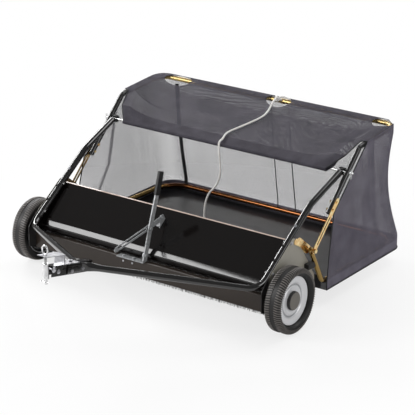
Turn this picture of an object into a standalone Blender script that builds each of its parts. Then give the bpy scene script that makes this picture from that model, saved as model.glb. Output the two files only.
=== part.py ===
"""Tow-behind lawn sweeper: two driven wheels, a geared rotary brush and a tipping mesh hopper.

Metres, +Z up, hitch towards -Y, ground at Z = 0. Shapes are written in the machine's own
measures, with Y = 0 at the wheel axle; the root empty then sets the middle of the length at Y = 0.
Blender 4.5: blender --background --python part.py
"""

from math import atan2, ceil, cos, hypot, pi, radians, sin

import bmesh
import bpy
from mathutils import Matrix, Vector

# Driving dimensions
AXLE_Y = -0.10397
GAP = 0.0003

AXLE_Z = 0.140
TYRE_RADIUS = 0.140
TYRE_INNER_X = 0.637
TYRE_OUTER_X = 0.716
RIM_RADIUS = 0.103
LUG_COUNT = 22
LUG_DEPTH = 0.0035
WHEEL_SEGMENTS = 22

GEAR_MODULE = 0.0039
RING_TEETH = 48
PINION_TEETH = 8
ADDENDUM = 0.80 * GEAR_MODULE
DEDENDUM = 1.10 * GEAR_MODULE
BRUSH_OFFSET = GEAR_MODULE * (RING_TEETH - PINION_TEETH) / 2
BRUSH_Z = 0.135
BRUSH_Y = (BRUSH_OFFSET ** 2 - (BRUSH_Z - AXLE_Z) ** 2) ** 0.5
BRUSH_RADIUS = 0.130
BRUSH_HALF_LENGTH = 0.575
STRIP_COUNT = 4
STRIP_PHASE = radians(170)
STRANDS_PER_STRIP = 76

PLATE_X = 0.620
PLATE_THICKNESS = 0.003
TUBE_RADIUS = 0.014
TUBE_X = 0.604
FRONT_END = (0.0265, -0.498, 0.306)
LOWER_BEND = (TUBE_X, -0.114, 0.206)
UPPER_BEND = (TUBE_X, 0.254, 0.462)
TUBE_TOP = (0.6115, 0.4615, 0.5413)
# Y of the bolts along the tube's straight run: two through the plate, three into the hood.
PLATE_BOLTS = (-0.045, 0.086)
HOOD_BOLTS = (0.000, 0.064, 0.150)

PIVOT_Y = 0.210
PIVOT_Z = 0.280
ROD_Y = 0.480
ROD_Z = 0.5435
ROD_RADIUS = 0.005
ARM_ANGLE = atan2(ROD_Z - PIVOT_Z, ROD_Y - PIVOT_Y)
ARM_BOLTS = (0.195, 0.232)
SIDE_TUBE_X = 0.6395
SIDE_TUBE_RADIUS = 0.012
HOOP_RADIUS = 0.011
UPPER_HOOP_Z = 0.652
UPPER_HOOP_Y = 0.862
SIDE_TUBE_TOP = 0.492
HOOP_KNEE = 0.5025
HOOP_TILT = 0.0722
LOWER_HOOP_X = 0.6365
LOWER_HOOP_Y = 0.930
LOWER_BEND_LEG = (0.302, 0.107)

BAG_HALF_WIDTH = 0.6540
BAG_THICKNESS = 0.002
BAG_REAR_BOTTOM = 0.9455
BAG_REAR_TOP = 0.8765
BAG_TOP_Z = 0.6655
BAG_BOTTOM_Z = 0.069
HEM_Y = 0.460
HEM_Z = 0.550
HEM_HALF_WIDTH = 0.547
CLIP_Y = 0.612
TOP_CORNER = 0.070
BOTTOM_CORNER = 0.070
CORNER_PULL = 0.036
REAR_STEPS = 8
# Heights of the cloth's rows as shares, with one row above the lower hoop and one below the upper.
BAG_ROWS = (0.0, 0.10, 0.36, 0.64, 0.93, 1.0)
# Half-moon openings over the upper hoop: X and Y of the middle, and the reach along X.
CUT_OUTS = ((0.045, 0.872, 0.066), (0.600, 0.848, 0.050), (-0.490, 0.868, 0.060))
CLOTH_SLOPE = 0.22
CLOTH_RISE = (0.7645, 0.8430)
CLOTH_SHOULDER = 0.92

TONGUE_TILT = radians(12.5)
TONGUE_ORIGIN = (-0.600, 0.3377)
TONGUE_HALF_WIDTH = 0.0175
TONGUE_HEIGHT = 0.0445
PIN_Y = -0.719
PIN_RADIUS = 0.006
# Bolts of the tongue, as (along, up) in its own tilted frame.
TAB_BOLTS = ((0.0167, -0.030), (0.0836, -0.026))
HEAD_BOLTS = ((-0.088, -0.0145), (-0.058, -0.0260))

LEVER_PIVOT = (-0.087, 0.200)
CLAMP = (-0.052, 0.3117)
STRAP_PIVOT = (0.045, 0.325)
LEVER_PATH = ((-0.0925, 0.1775), CLAMP, (-0.004, 0.446), (0.0265, 0.545))

ROPE_RADIUS = 0.0045
COIL_CENTRE = (0.030, 0.530)
COIL_TURNS = 1.5
COIL_OUTER = 0.074
COIL_PITCH = 0.0105
COIL_POINTS = 24

FINISHES = {
    "black_paint": ((0.010, 0.010, 0.011), 0.22, 0.0),
    "brown_black_paint": ((0.035, 0.027, 0.024), 0.30, 0.0),
    "grey_paint": ((0.30, 0.29, 0.25), 0.45, 0.0),
    "zinc": ((0.62, 0.63, 0.64), 0.35, 0.9),
    "yellow_zinc": ((0.72, 0.50, 0.17), 0.32, 0.9),
    "bright_steel": ((0.70, 0.70, 0.71), 0.25, 1.0),
    "dark_steel": ((0.16, 0.16, 0.17), 0.40, 0.9),
    "silver_rim": ((0.72, 0.73, 0.74), 0.40, 0.3),
    "tyre_rubber": ((0.050, 0.049, 0.047), 0.75, 0.0),
    "soft_rubber": ((0.012, 0.012, 0.012), 0.60, 0.0),
    "grey_plastic": ((0.10, 0.095, 0.09), 0.50, 0.0),
    "black_plastic": ((0.012, 0.012, 0.012), 0.35, 0.0),
    "nylon_bristle": ((0.030, 0.030, 0.032), 0.55, 0.0),
    "black_vinyl": ((0.014, 0.014, 0.016), 0.28, 0.0),
    "mesh_cloth": ((0.085, 0.085, 0.090), 0.80, 0.0),
    "rope_fibre": ((0.50, 0.46, 0.38), 0.85, 0.0),
}

# X, Y, Z of a shape drawn flat become Y, Z, X of the machine.
FLAT_TO_SIDE = Matrix(((0, 0, 1), (1, 0, 0), (0, 1, 0))).to_4x4()


def clear_scene():
    """Remove every object, then the collections of an earlier run."""
    for obj in list(bpy.data.objects):
        bpy.data.objects.remove(obj, do_unlink=True)
    for collection in list(bpy.data.collections):
        bpy.data.collections.remove(collection)


def new_collection(name):
    collection = bpy.data.collections.new(name)
    bpy.context.scene.collection.children.link(collection)
    return collection


clear_scene()
PARTS = new_collection("lawn_sweeper")
CUTTERS = new_collection("lawn_sweeper_cutters")


def empty_at(name, location, parent=None):
    """An empty that carries the pieces of one moving body."""
    obj = bpy.data.objects.new(name, None)
    obj.empty_display_size = 0.05
    obj.location = location
    obj.parent = parent
    PARTS.objects.link(obj)
    return obj


SWEEPER = empty_at("sweeper", (0, AXLE_Y, 0))
WHEEL_AXIS = {
    1: empty_at("wheel_right_axis", (0.6745, 0, AXLE_Z), SWEEPER),
    -1: empty_at("wheel_left_axis", (-0.6745, 0, AXLE_Z), SWEEPER),
}
BRUSH_AXIS = empty_at("brush_axis", (0, BRUSH_Y, BRUSH_Z), SWEEPER)
HOPPER_AXIS = empty_at("hopper_axis", (0, PIVOT_Y, PIVOT_Z), SWEEPER)
LEVER_AXIS = empty_at("lever_axis", (0, *LEVER_PIVOT), SWEEPER)
STRAP_AXIS = empty_at("strap_axis", (0, *STRAP_PIVOT), SWEEPER)
PIN_AXIS = empty_at("pin_axis", (0, PIN_Y, 0.30), SWEEPER)
SIDE_NAMES = {1: "right", -1: "left"}


def material_for(name, finish):
    colour, roughness, metallic = FINISHES[finish]
    material = bpy.data.materials.new(f"{name}_{finish}")
    material.use_nodes = True
    shader = material.node_tree.nodes["Principled BSDF"]
    shader.inputs["Base Color"].default_value = (*colour, 1)
    shader.inputs["Roughness"].default_value = roughness
    shader.inputs["Metallic"].default_value = metallic
    return material


def carry(obj, carrier):
    """Parent a shape drawn in machine measures to an empty, without moving the shape."""
    obj.parent = carrier
    if carrier is not SWEEPER:
        obj.matrix_parent_inverse = Matrix.Translation(-Vector(carrier.location))
    for modifier in obj.modifiers:
        if modifier.type == "BOOLEAN":
            carry(modifier.object, carrier)


def part(obj, name, finish, carrier=SWEEPER, smooth=True):
    """Name, paint and place one finished piece."""
    obj.name = name
    obj.data.name = name
    obj.data.materials.clear()
    obj.data.materials.append(material_for(name, finish))
    if smooth:
        obj.data.shade_smooth()
        obj.data.set_sharp_from_angle(angle=radians(35))
    PARTS.objects.link(obj)
    carry(obj, carrier)
    return obj


def boolean(obj, other, operation):
    """Cut or join with a second shape, which stays in the cutters' collection."""
    CUTTERS.objects.link(other)
    other.hide_render = True
    other.display_type = "WIRE"
    modifier = obj.modifiers.new(operation.lower(), "BOOLEAN")
    modifier.object = other
    modifier.operation = operation
    modifier.solver = "EXACT"
    return obj


def joined(obj, *others):
    for other in others:
        boolean(obj, other, "UNION")
    return obj


def cut(obj, *others):
    for other in others:
        boolean(obj, other, "DIFFERENCE")
    return obj


def from_bmesh(bm, name):
    bmesh.ops.recalc_face_normals(bm, faces=bm.faces)
    mesh = bpy.data.meshes.new(name)
    bm.to_mesh(mesh)
    bm.free()
    return bpy.data.objects.new(name, mesh)


def curve_to_mesh(curve_object):
    """The welded mesh of a curve, in place of the curve."""
    bpy.context.scene.collection.objects.link(curve_object)
    bpy.context.view_layer.update()
    evaluated = curve_object.evaluated_get(bpy.context.evaluated_depsgraph_get())
    mesh = bpy.data.meshes.new_from_object(evaluated)
    mesh.transform(curve_object.matrix_world)
    name = curve_object.name
    bpy.data.objects.remove(curve_object, do_unlink=True)
    bm = bmesh.new()
    bm.from_mesh(mesh)
    bpy.data.meshes.remove(mesh)
    bmesh.ops.remove_doubles(bm, verts=bm.verts, dist=0.00001)
    return from_bmesh(bm, name)


def tube(name, points, radius, resolution=3, closed=False):
    """A round bar along points; its ring has 4 + 2 * resolution sides."""
    curve = bpy.data.curves.new(name, "CURVE")
    curve.dimensions = "3D"
    curve.bevel_depth = radius
    curve.bevel_resolution = resolution
    curve.use_fill_caps = not closed
    spline = curve.splines.new("POLY")
    spline.points.add(len(points) - 1)
    spline.use_cyclic_u = closed
    for spot, point in zip(spline.points, points):
        spot.co = (*point, 1)
    return curve_to_mesh(bpy.data.objects.new(name, curve))


def side_plate_shape(name, outline, x_low, x_high, holes=()):
    """A flat outline of (y, z) points, with holes, between two x values."""
    curve = bpy.data.curves.new(name, "CURVE")
    curve.dimensions = "2D"
    curve.fill_mode = "BOTH"
    curve.extrude = abs(x_high - x_low) / 2
    for loop in (outline, *holes):
        spline = curve.splines.new("POLY")
        spline.points.add(len(loop) - 1)
        spline.use_cyclic_u = True
        for spot, point in zip(spline.points, loop):
            spot.co = (point[0], point[1], 0, 1)
    obj = bpy.data.objects.new(name, curve)
    obj.matrix_world = Matrix.Translation(((x_low + x_high) / 2, 0, 0)) @ FLAT_TO_SIDE
    return curve_to_mesh(obj)


def ring_points(centre, radius, count, start=0.0, sweep=2 * pi):
    """Points round a circle, or along an arc when sweep is less than a full turn."""
    full = abs(sweep) > 2 * pi - 0.0001
    steps = count if full else count - 1
    angles = [start + sweep * i / steps for i in range(count)]
    return [(centre[0] + radius * cos(a), centre[1] + radius * sin(a)) for a in angles]


def bar_outline(first, last, half_width, steps=7):
    """The stadium round the straight line from first to last."""
    heading = atan2(last[1] - first[1], last[0] - first[0])
    front = ring_points(last, half_width, steps, heading - pi / 2, pi)
    back = ring_points(first, half_width, steps, heading + pi / 2, pi)
    return front + back


def strip_outline(path, half_width):
    """A flat bar's outline along a bent path, with mitred corners and square ends."""
    left = []
    right = []
    for i, point in enumerate(path):
        before = path[max(i - 1, 0)]
        after = path[min(i + 1, len(path) - 1)]
        into = Vector((point[0] - before[0], point[1] - before[1]))
        out = Vector((after[0] - point[0], after[1] - point[1]))
        into = (into if into.length else out).normalized()
        out = (out if out.length else into).normalized()
        middle = (into + out).normalized()
        reach = half_width / middle.dot(into)
        left.append((point[0] - middle.y * reach, point[1] + middle.x * reach))
        right.append((point[0] + middle.y * reach, point[1] - middle.x * reach))
    return left + right[::-1]


def rounded(points, radii, step=radians(22.5)):
    """Points of a route whose inner corners are arcs of the given radii."""
    points = [Vector(point) for point in points]
    route = [points[0]]
    for before, corner, after, radius in zip(points, points[1:], points[2:], radii):
        into = (before - corner).normalized()
        out = (after - corner).normalized()
        half = into.angle(out) / 2
        middle = corner + (into + out).normalized() * radius / sin(half)
        start = corner + into * radius * cos(half) / sin(half)
        first = start - middle
        axis = first.cross(corner + out * radius * cos(half) / sin(half) - middle).normalized()
        sweep = pi - 2 * half
        count = max(2, ceil(sweep / step))
        for i in range(count + 1):
            route.append(middle + Matrix.Rotation(sweep * i / count, 3, axis) @ first)
    route.append(points[-1])
    return route


def rounded_flat(points, radii, step=radians(20)):
    """The same for an open path of (y, z) pairs."""
    route = rounded([(0, *point) for point in points], radii, step)
    return [(point.y, point.z) for point in route]


def turned(name, profile, side, y=0.0, z=AXLE_Z, segments=WHEEL_SEGMENTS):
    """A body turned about X from (radius, distance from the middle) pairs.

    The profile runs down its outer side; a profile off the axis is closed into a ring.
    """
    mesh = bpy.data.meshes.new(name)
    vertices = [(radius, 0, height) for radius, height in profile]
    edges = [(i, i + 1) for i in range(len(profile) - 1)]
    if min(radius for radius, height in profile) > 0:
        edges.append((len(profile) - 1, 0))
    mesh.from_pydata(vertices, edges, [])
    obj = bpy.data.objects.new(name, mesh)
    screw = obj.modifiers.new("turn", "SCREW")
    screw.axis = "Z"
    screw.angle = 2 * pi
    screw.steps = segments
    screw.render_steps = segments
    screw.use_merge_vertices = True
    screw.merge_threshold = 0.00001
    screw.use_smooth_shade = False
    obj.matrix_world = Matrix.Translation((0, y, z)) @ Matrix.Rotation(side * pi / 2, 4, "Y")
    return curve_to_mesh(obj)


def cylinder(name, start, end, radius, segments=12):
    """A straight round bar between two points."""
    start = Vector(start)
    end = Vector(end)
    bm = bmesh.new()
    bmesh.ops.create_cone(bm, cap_ends=True, segments=segments, radius1=radius, radius2=radius,
                          depth=(end - start).length)
    turn = (end - start).to_track_quat("Z", "Y").to_matrix().to_4x4()
    bmesh.ops.transform(bm, matrix=Matrix.Translation((start + end) / 2) @ turn, verts=bm.verts)
    return from_bmesh(bm, name)


def box(name, low, high):
    low = Vector(low)
    high = Vector(high)
    bm = bmesh.new()
    bmesh.ops.create_cube(bm, size=1)
    bmesh.ops.scale(bm, vec=high - low, verts=bm.verts)
    bmesh.ops.translate(bm, vec=(low + high) / 2, verts=bm.verts)
    return from_bmesh(bm, name)


def bolt(name, y, z, x_low, x_high, shank, head, head_height):
    """A bolt along X: a hexagon head at each end of a six-sided shank, joined as one turned body."""
    profile = [(0, x_high), (head, x_high), (head, x_high - head_height), (shank, x_high - head_height)]
    profile += [(shank, x_low + head_height), (head, x_low + head_height), (head, x_low), (0, x_low)]
    return turned(name, profile, 1, y, z, segments=6)


def sheet(name, path, thickness, x_low, x_high):
    """A bent sheet: an open surface along X over a (y, z) path, given its thickness."""
    bm = bmesh.new()
    rows = []
    for x in (x_low, x_high):
        rows.append([bm.verts.new((x, y, z)) for y, z in path])
    for i in range(len(path) - 1):
        bm.faces.new((rows[0][i], rows[0][i + 1], rows[1][i + 1], rows[1][i]))
    obj = from_bmesh(bm, name)
    thicken(obj, thickness)
    return obj


def thicken(obj, thickness, even=True):
    solidify = obj.modifiers.new("thickness", "SOLIDIFY")
    solidify.thickness = thickness
    solidify.offset = -1
    solidify.use_even_offset = even


def tongue_point(along, up):
    """A point of the tilted tongue's own frame, as the machine's (y, z)."""
    y = TONGUE_ORIGIN[0] + along * cos(TONGUE_TILT) + up * sin(TONGUE_TILT)
    z = TONGUE_ORIGIN[1] - along * sin(TONGUE_TILT) + up * cos(TONGUE_TILT)
    return y, z


def tongue_rectangle(along_low, along_high, up_low, up_high):
    corners = ((along_low, up_low), (along_high, up_low), (along_high, up_high), (along_low, up_high))
    return [tongue_point(*corner) for corner in corners]


def arm_point(distance, offset=0.0):
    """A point along the hopper's side tube, measured from the dump pivot."""
    y = PIVOT_Y + distance * cos(ARM_ANGLE) - offset * sin(ARM_ANGLE)
    z = PIVOT_Z + distance * sin(ARM_ANGLE) + offset * cos(ARM_ANGLE)
    return y, z


def tube_spots(ys):
    """Places (y, z) on the drawbar tube's axis, along its straight run beside the plate."""
    slope = (UPPER_BEND[2] - LOWER_BEND[2]) / (UPPER_BEND[1] - LOWER_BEND[1])
    return [(y, LOWER_BEND[2] + slope * (y - LOWER_BEND[1])) for y in ys]


def make_side_plate(side):
    corners = [(-0.125, 0.108), (-0.125, 0.200), (-0.090, 0.235), (0.100, 0.365), (0.135, 0.345),
               (0.265, 0.148), (0.265, 0.075)]
    path = [(-0.045, 0.075)] + corners + [(-0.044, 0.075)]
    outline = rounded_flat(path, (0.008, 0.020, 0.020, 0.015, 0.020, 0.030, 0.008), radians(30))
    holes = [ring_points((0, AXLE_Z), 0.0067, 12), ring_points((BRUSH_Y, BRUSH_Z), 0.0145, 16)]
    holes += [ring_points(spot, 0.0040, 8) for spot in tube_spots(PLATE_BOLTS)]
    low = side * PLATE_X - PLATE_THICKNESS / 2
    plate = side_plate_shape("plate", outline, low, low + PLATE_THICKNESS, holes)
    part(plate, f"side_plate_{SIDE_NAMES[side]}", "grey_paint" if side > 0 else "black_paint")


def make_hood():
    """Bent sheet over the brush: rolled top edge, flat slope, tight curve and a lip."""
    path = [(0.1235, 0.3300), (0.1235, 0.3435), (0.1100, 0.3435), (-0.0480, 0.2205),
            (-0.0640, 0.1990), (-0.0580, 0.1740)]
    smooth = rounded_flat(path, (0.0060, 0.0040, 0.0300, 0.0100), radians(22))
    hood = sheet("hood", smooth, 0.0015, -0.6180, 0.6180)
    part(hood, "hood", "black_paint")


def make_front_panel():
    """A channel between the side plates, open to the rear."""
    web = -0.085
    outline = [(web, 0.095), (-0.066, 0.095), (-0.066, 0.097), (web + 0.002, 0.097),
               (web + 0.002, 0.165), (-0.066, 0.165), (-0.066, 0.167), (web, 0.167)]
    panel = side_plate_shape("panel", outline, -0.6120, 0.6150)
    part(panel, "front_panel", "brown_black_paint", smooth=False)


def make_stub_axle(side):
    """Shoulder bolt: nut inside the plate, collar outside it, then the wheel's journal."""
    profile = [(0, 0.6965), (0.0078, 0.6965), (0.0078, 0.6330), (0.0120, 0.6330), (0.0120, 0.6218),
               (0.0060, 0.6218), (0.0060, 0.6182), (0.0120, 0.6182), (0.0120, 0.6080), (0, 0.6080)]
    axle = turned("axle", profile, side, segments=12)
    part(axle, f"stub_axle_{SIDE_NAMES[side]}", "zinc")


def make_brush_bearing(side):
    """Flanged bush through the plate, bored for the brush shaft."""
    profile = [(0.0140, 0.6290), (0.0140, 0.6182), (0.0240, 0.6182), (0.0240, 0.6100),
               (0.0084, 0.6100), (0.0084, 0.6290)]
    bearing = turned("bearing", profile, side, BRUSH_Y, BRUSH_Z, 16)
    part(bearing, f"brush_bearing_{SIDE_NAMES[side]}", "black_plastic")


def make_drawbar_tube(side):
    """One bent tube with a flattened tab at the tongue, its plate bolts and the hood's bolt heads."""
    route = [(side * x, y, z) for x, y, z in (FRONT_END, LOWER_BEND, UPPER_BEND, TUBE_TOP)]
    bar = tube("drawbar", rounded(route, (0.080, 0.140)), TUBE_RADIUS)
    inner = TONGUE_HALF_WIDTH + GAP
    tab = side_plate_shape("tab", tongue_rectangle(-0.006, 0.132, -0.042, -0.004),
                           side * inner, side * (inner + 0.005),
                           [ring_points(tongue_point(*spot), 0.0047, 8) for spot in TAB_BOLTS])
    joined(bar, tab)
    outer = PLATE_X + PLATE_THICKNESS / 2 + GAP + 0.005
    inner_face = TUBE_X - TUBE_RADIUS - 0.004
    for y, z in tube_spots(PLATE_BOLTS):
        low, high = sorted((side * inner_face, side * outer))
        joined(bar, bolt("plate_bolt", y, z, low, high, 0.0032, 0.0075, 0.005))
    across = Vector((0, LOWER_BEND[2] - UPPER_BEND[2], UPPER_BEND[1] - LOWER_BEND[1])).normalized()
    for y, z in tube_spots(HOOD_BOLTS):
        centre = Vector((side * TUBE_X, y, z))
        joined(bar, cylinder("hood_bolt", centre, centre + across * (TUBE_RADIUS + 0.004), 0.0055, 6))
    part(bar, f"drawbar_tube_{SIDE_NAMES[side]}", "black_paint")


def make_rod_saddle(side):
    """Cap at the drawbar tube's top: a hook whose notch lets the rod leave forwards and up."""
    centre = (ROD_Y, ROD_Z)
    leave = ARM_ANGLE + pi / 2
    notch = ROD_RADIUS + 0.0006
    radius = 0.0165
    half_mouth = atan2(notch, (radius ** 2 - notch ** 2) ** 0.5)
    rim = ring_points(centre, radius, 22, leave + half_mouth, 2 * (pi - half_mouth))
    seat = ring_points(centre, notch, 9, leave - pi / 2, -pi)
    saddle = side_plate_shape("saddle", rim + seat, side * 0.5995, side * 0.6255)
    part(saddle, f"rod_saddle_{SIDE_NAMES[side]}", "black_plastic")


def make_tongue():
    """Channel, open below, with two slots through its sides."""
    holes = [ring_points(tongue_point(*spot), 0.0047, 8) for spot in TAB_BOLTS + HEAD_BOLTS]
    for start, end in ((-0.034, -0.010), (0.036, 0.062)):
        holes.append(bar_outline(tongue_point(start, -0.018), tongue_point(end, -0.018), 0.003, 4))
    body = side_plate_shape("tongue", tongue_rectangle(-0.098, 0.150, -TONGUE_HEIGHT, 0),
                            -TONGUE_HALF_WIDTH, TONGUE_HALF_WIDTH, holes)
    wall = 0.003
    hollow = side_plate_shape("hollow", tongue_rectangle(-0.110, 0.162, -TONGUE_HEIGHT - 0.01, -wall),
                              wall - TONGUE_HALF_WIDTH, TONGUE_HALF_WIDTH - wall)
    part(cut(body, hollow), "tongue", "black_paint")


def make_tongue_bolts():
    tab_outer = TONGUE_HALF_WIDTH + GAP + 0.005 + GAP + 0.005
    for name, spot in zip(("front", "rear"), TAB_BOLTS):
        y, z = tongue_point(*spot)
        screw = bolt("bolt", y, z, -tab_outer, tab_outer, 0.0040, 0.0080, 0.005)
        part(screw, f"tongue_bolt_{name}", "zinc")
    head_outer = TONGUE_HALF_WIDTH + GAP + 0.004
    for name, spot, head in zip(("front", "rear"), HEAD_BOLTS, (0.0130, 0.0095)):
        y, z = tongue_point(*spot)
        profile = [(0, head_outer + 0.002), (head * 0.7, head_outer), (head, head_outer - 0.004),
                   (0.0040, head_outer - 0.004), (0.0040, 0.004 - head_outer),
                   (head, 0.004 - head_outer), (head * 0.7, -head_outer), (0, -0.002 - head_outer)]
        screw = turned("bolt", profile, 1, y, z, segments=12)
        part(screw, f"hitch_bolt_{name}", "zinc")


def make_hitch_bracket():
    """Z-plate: a flange on the tongue, a web, and the upper flange with the pin's hole."""
    lift = 0.041
    plate = 0.003
    outline = [(0.060, GAP), (0.060, GAP + plate), (-0.037, GAP + plate), (-0.037, lift + plate),
               (-0.150, lift + plate), (-0.150, lift), (-0.040, lift), (-0.040, GAP)]
    bracket = side_plate_shape("bracket", [tongue_point(*spot) for spot in outline], -0.025, 0.025)
    hole = cylinder("pin_hole", (0, PIN_Y, 0.380), (0, PIN_Y, 0.440), PIN_RADIUS + 0.002)
    cut(bracket, hole)
    for along in (-0.014, 0.030):
        y, z = tongue_point(along, GAP + plate - 0.001)
        y_top, z_top = tongue_point(along, GAP + plate + 0.006)
        joined(bracket, cylinder("nut", (0, y, z), (0, y_top, z_top), 0.0085, 6))
    part(bracket, "hitch_bracket", "zinc")


def make_hitch_sleeve():
    sleeve = cylinder("sleeve", (0, PIN_Y, 0.310), (0, PIN_Y, 0.375), 0.0130, 20)
    cut(sleeve, cylinder("bore", (0, PIN_Y, 0.300), (0, PIN_Y, 0.385), PIN_RADIUS + 0.0006, 16))
    part(sleeve, "hitch_sleeve", "bright_steel")


def hairpin_route(along, across):
    """Wire of an R-clip: a straight leg, a round bend and a leg that hugs the pin.

    along is the straight leg's direction and across points to the hugging leg.
    """
    leg = [(0.018, 0.0), (-0.022, 0.0)]
    bend = ring_points((-0.022, 0.0040), 0.0040, 7, -pi / 2, -pi)
    hug = [(-0.014, 0.0066), (-0.008, 0.0062), (-0.004, 0.0080), (0.0, 0.0086), (0.004, 0.0080),
           (0.009, 0.0058), (0.015, 0.0078)]
    return [Vector(along) * a + Vector(across) * b for a, b in leg[:1] + bend + hug]


def make_hitch_pin():
    """Pin with a drawn-out ring handle, and the hairpin through its cross hole."""
    hole_z = 0.2970
    shaft = cylinder("shaft", (0, PIN_Y, 0.284), (0, PIN_Y, 0.4140), PIN_RADIUS, 16)
    cut(shaft, cylinder("cross_hole", (-0.010, PIN_Y, hole_z), (0.010, PIN_Y, hole_z), 0.0018, 8))
    handle = [(0.014 * x, PIN_Y, 0.4325 + 0.018 * z) for x, z in ring_points((0, 0), 1, 16)]
    joined(shaft, tube("handle", handle, 0.0034, 2, closed=True))
    part(shaft, "hitch_pin", "bright_steel", PIN_AXIS)
    route = [Vector((0, PIN_Y, hole_z)) + spot for spot in hairpin_route((1, 0, 0), (0, -1, 0))]
    part(tube("hairpin", route, 0.0012, 1), "hitch_hairpin", "bright_steel", PIN_AXIS)


def make_lever_foot():
    """Angle on the front panel's flange, with the ear and stud that the lever turns on."""
    foot = box("foot", (-0.145, -0.102, 0.1673), (-0.0025, -0.071, 0.1703))
    y, z = LEVER_PIVOT
    ear = side_plate_shape("ear", [(-0.102, 0.168), (-0.072, 0.168), (-0.073, 0.201), (-0.080, 0.213),
                                   (-0.094, 0.213), (-0.101, 0.201)], -0.0055, -0.0025)
    stud = [(0, 0.0085), (0.0080, 0.0085), (0.0080, 0.0040), (0.0040, 0.0040), (0.0040, -0.0040),
            (0, -0.0040)]
    joined(foot, ear, turned("stud", stud, 1, y, z, segments=12))
    for x in (-0.118, -0.062):
        joined(foot, cylinder("bolt_head", (x, -0.086, 0.1695), (x, -0.086, 0.1760), 0.0075, 6))
    part(foot, "lever_foot", "zinc")


def make_lever():
    """Bent flat bar, its grip and the bolt that clamps it to the strap."""
    bar_low = -0.0018
    bar_high = 0.0034
    blade = list(LEVER_PATH[:3]) + [(0.0126, 0.500)]
    holes = [ring_points(LEVER_PIVOT, 0.0045, 12), ring_points(CLAMP, 0.0034, 12)]
    bar = side_plate_shape("lever", strip_outline(blade, 0.0125), bar_low, bar_high, holes)
    part(bar, "lever_bar", "zinc", LEVER_AXIS, smooth=False)
    grip = side_plate_shape("grip", strip_outline(LEVER_PATH[2:], 0.0145), -0.0055, 0.0070)
    pocket = side_plate_shape("pocket", strip_outline(blade, 0.0129), bar_low - GAP, bar_high + GAP)
    bevel = grip.modifiers.new("edges", "BEVEL")
    bevel.width = 0.003
    bevel.segments = 2
    part(cut(grip, pocket), "lever_grip", "black_plastic", LEVER_AXIS)
    clamp = turned("clamp", [(0, 0.0100), (0.0075, 0.0100), (0.0075, 0.0037), (0.0030, 0.0037),
                             (0.0030, -0.0121), (0.0080, -0.0121), (0.0080, -0.0170), (0, -0.0170)],
                   1, *CLAMP, segments=12)
    part(clamp, "lever_clamp_bolt", "zinc", LEVER_AXIS)


def make_adjusting_strap():
    """Slotted strap from its pivot on the hood's angle to past the lever."""
    front = (-0.268, 0.2820)
    length = hypot(STRAP_PIVOT[0] - front[0], STRAP_PIVOT[1] - front[1])
    step = ((front[0] - STRAP_PIVOT[0]) / length, (front[1] - STRAP_PIVOT[1]) / length)

    def spot(distance, drop=0.0):
        return STRAP_PIVOT[0] + step[0] * distance, STRAP_PIVOT[1] + step[1] * distance + drop

    slot = bar_outline(spot(0.0920, 0.0012), spot(length - 0.014, 0.0012), 0.0046, 5)
    holes = [slot, ring_points(STRAP_PIVOT, 0.0034, 12)]
    outline = bar_outline(spot(0), spot(length), 0.0115, 5)
    strap = side_plate_shape("strap", outline, -0.0118, -0.0088, holes)
    part(strap, "adjusting_strap", "zinc", STRAP_AXIS, smooth=False)


def make_strap_angle():
    """Angle on the hood's slope with the stud that the strap swings on."""
    slope = radians(37.9)
    foot_y, foot_z = 0.052, 0.2985
    outline = [(0.030, 0.2840), (0.070, 0.3150), (0.058, 0.338), (0.036, 0.338)]
    upright = side_plate_shape("upright", outline, -0.0152, -0.0122)
    foot = box("foot", (-0.0360, -0.020, 0.0006), (-0.0125, 0.020, 0.0032))
    foot.data.transform(Matrix.Translation((0, foot_y, foot_z)) @ Matrix.Rotation(slope, 4, "X"))
    stud = [(0, -0.0045), (0.0065, -0.0045), (0.0065, -0.0084), (0.0030, -0.0084), (0.0030, -0.0140),
            (0, -0.0140)]
    joined(upright, foot, turned("stud", stud, 1, *STRAP_PIVOT, segments=12))
    part(upright, "strap_angle", "zinc")


def make_pivot_lug(side):
    """Lug on the plate's rear top corner, with the stud that the hopper tips on."""
    corners = [(0.150, 0.310), (0.106, 0.335), (0.108, 0.353), (0.148, 0.352), (0.228, 0.288),
               (0.216, 0.262), (0.190, 0.268), (0.151, 0.309)]
    outline = rounded_flat(corners, (0.006, 0.006, 0.010, 0.012, 0.012, 0.010), radians(40))
    face = PLATE_X + PLATE_THICKNESS / 2 + GAP
    lug = side_plate_shape("lug", outline, side * face, side * (face + 0.003))
    stud = [(0, 0.6640), (0.0095, 0.6640), (0.0095, 0.6565), (0.0050, 0.6565), (0.0050, face + 0.001),
            (0, face + 0.001)]
    joined(lug, turned("stud", stud, side, PIVOT_Y, PIVOT_Z, 12))
    part(lug, f"pivot_lug_{SIDE_NAMES[side]}", "yellow_zinc")


def make_rest_bumper(side):
    """Rubber block on the side plate that the hopper's leg rests against."""
    face = PLATE_X + PLATE_THICKNESS / 2 + GAP
    leg = (LOWER_BEND_LEG[0] - PIVOT_Y, LOWER_BEND_LEG[1] - PIVOT_Z)
    length = hypot(*leg)

    def leg_front(z):
        along = (z - PIVOT_Z) / leg[1]
        return PIVOT_Y + leg[0] * along + (HOOP_RADIUS + 0.0004) * length / leg[1]

    outline = [(0.186, 0.198), (leg_front(0.196), 0.198), (leg_front(0.219), 0.221), (0.186, 0.221)]
    block = side_plate_shape("bumper", outline, side * face, side * 0.6440)
    part(block, f"rest_bumper_{SIDE_NAMES[side]}", "soft_rubber", smooth=False)


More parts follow.
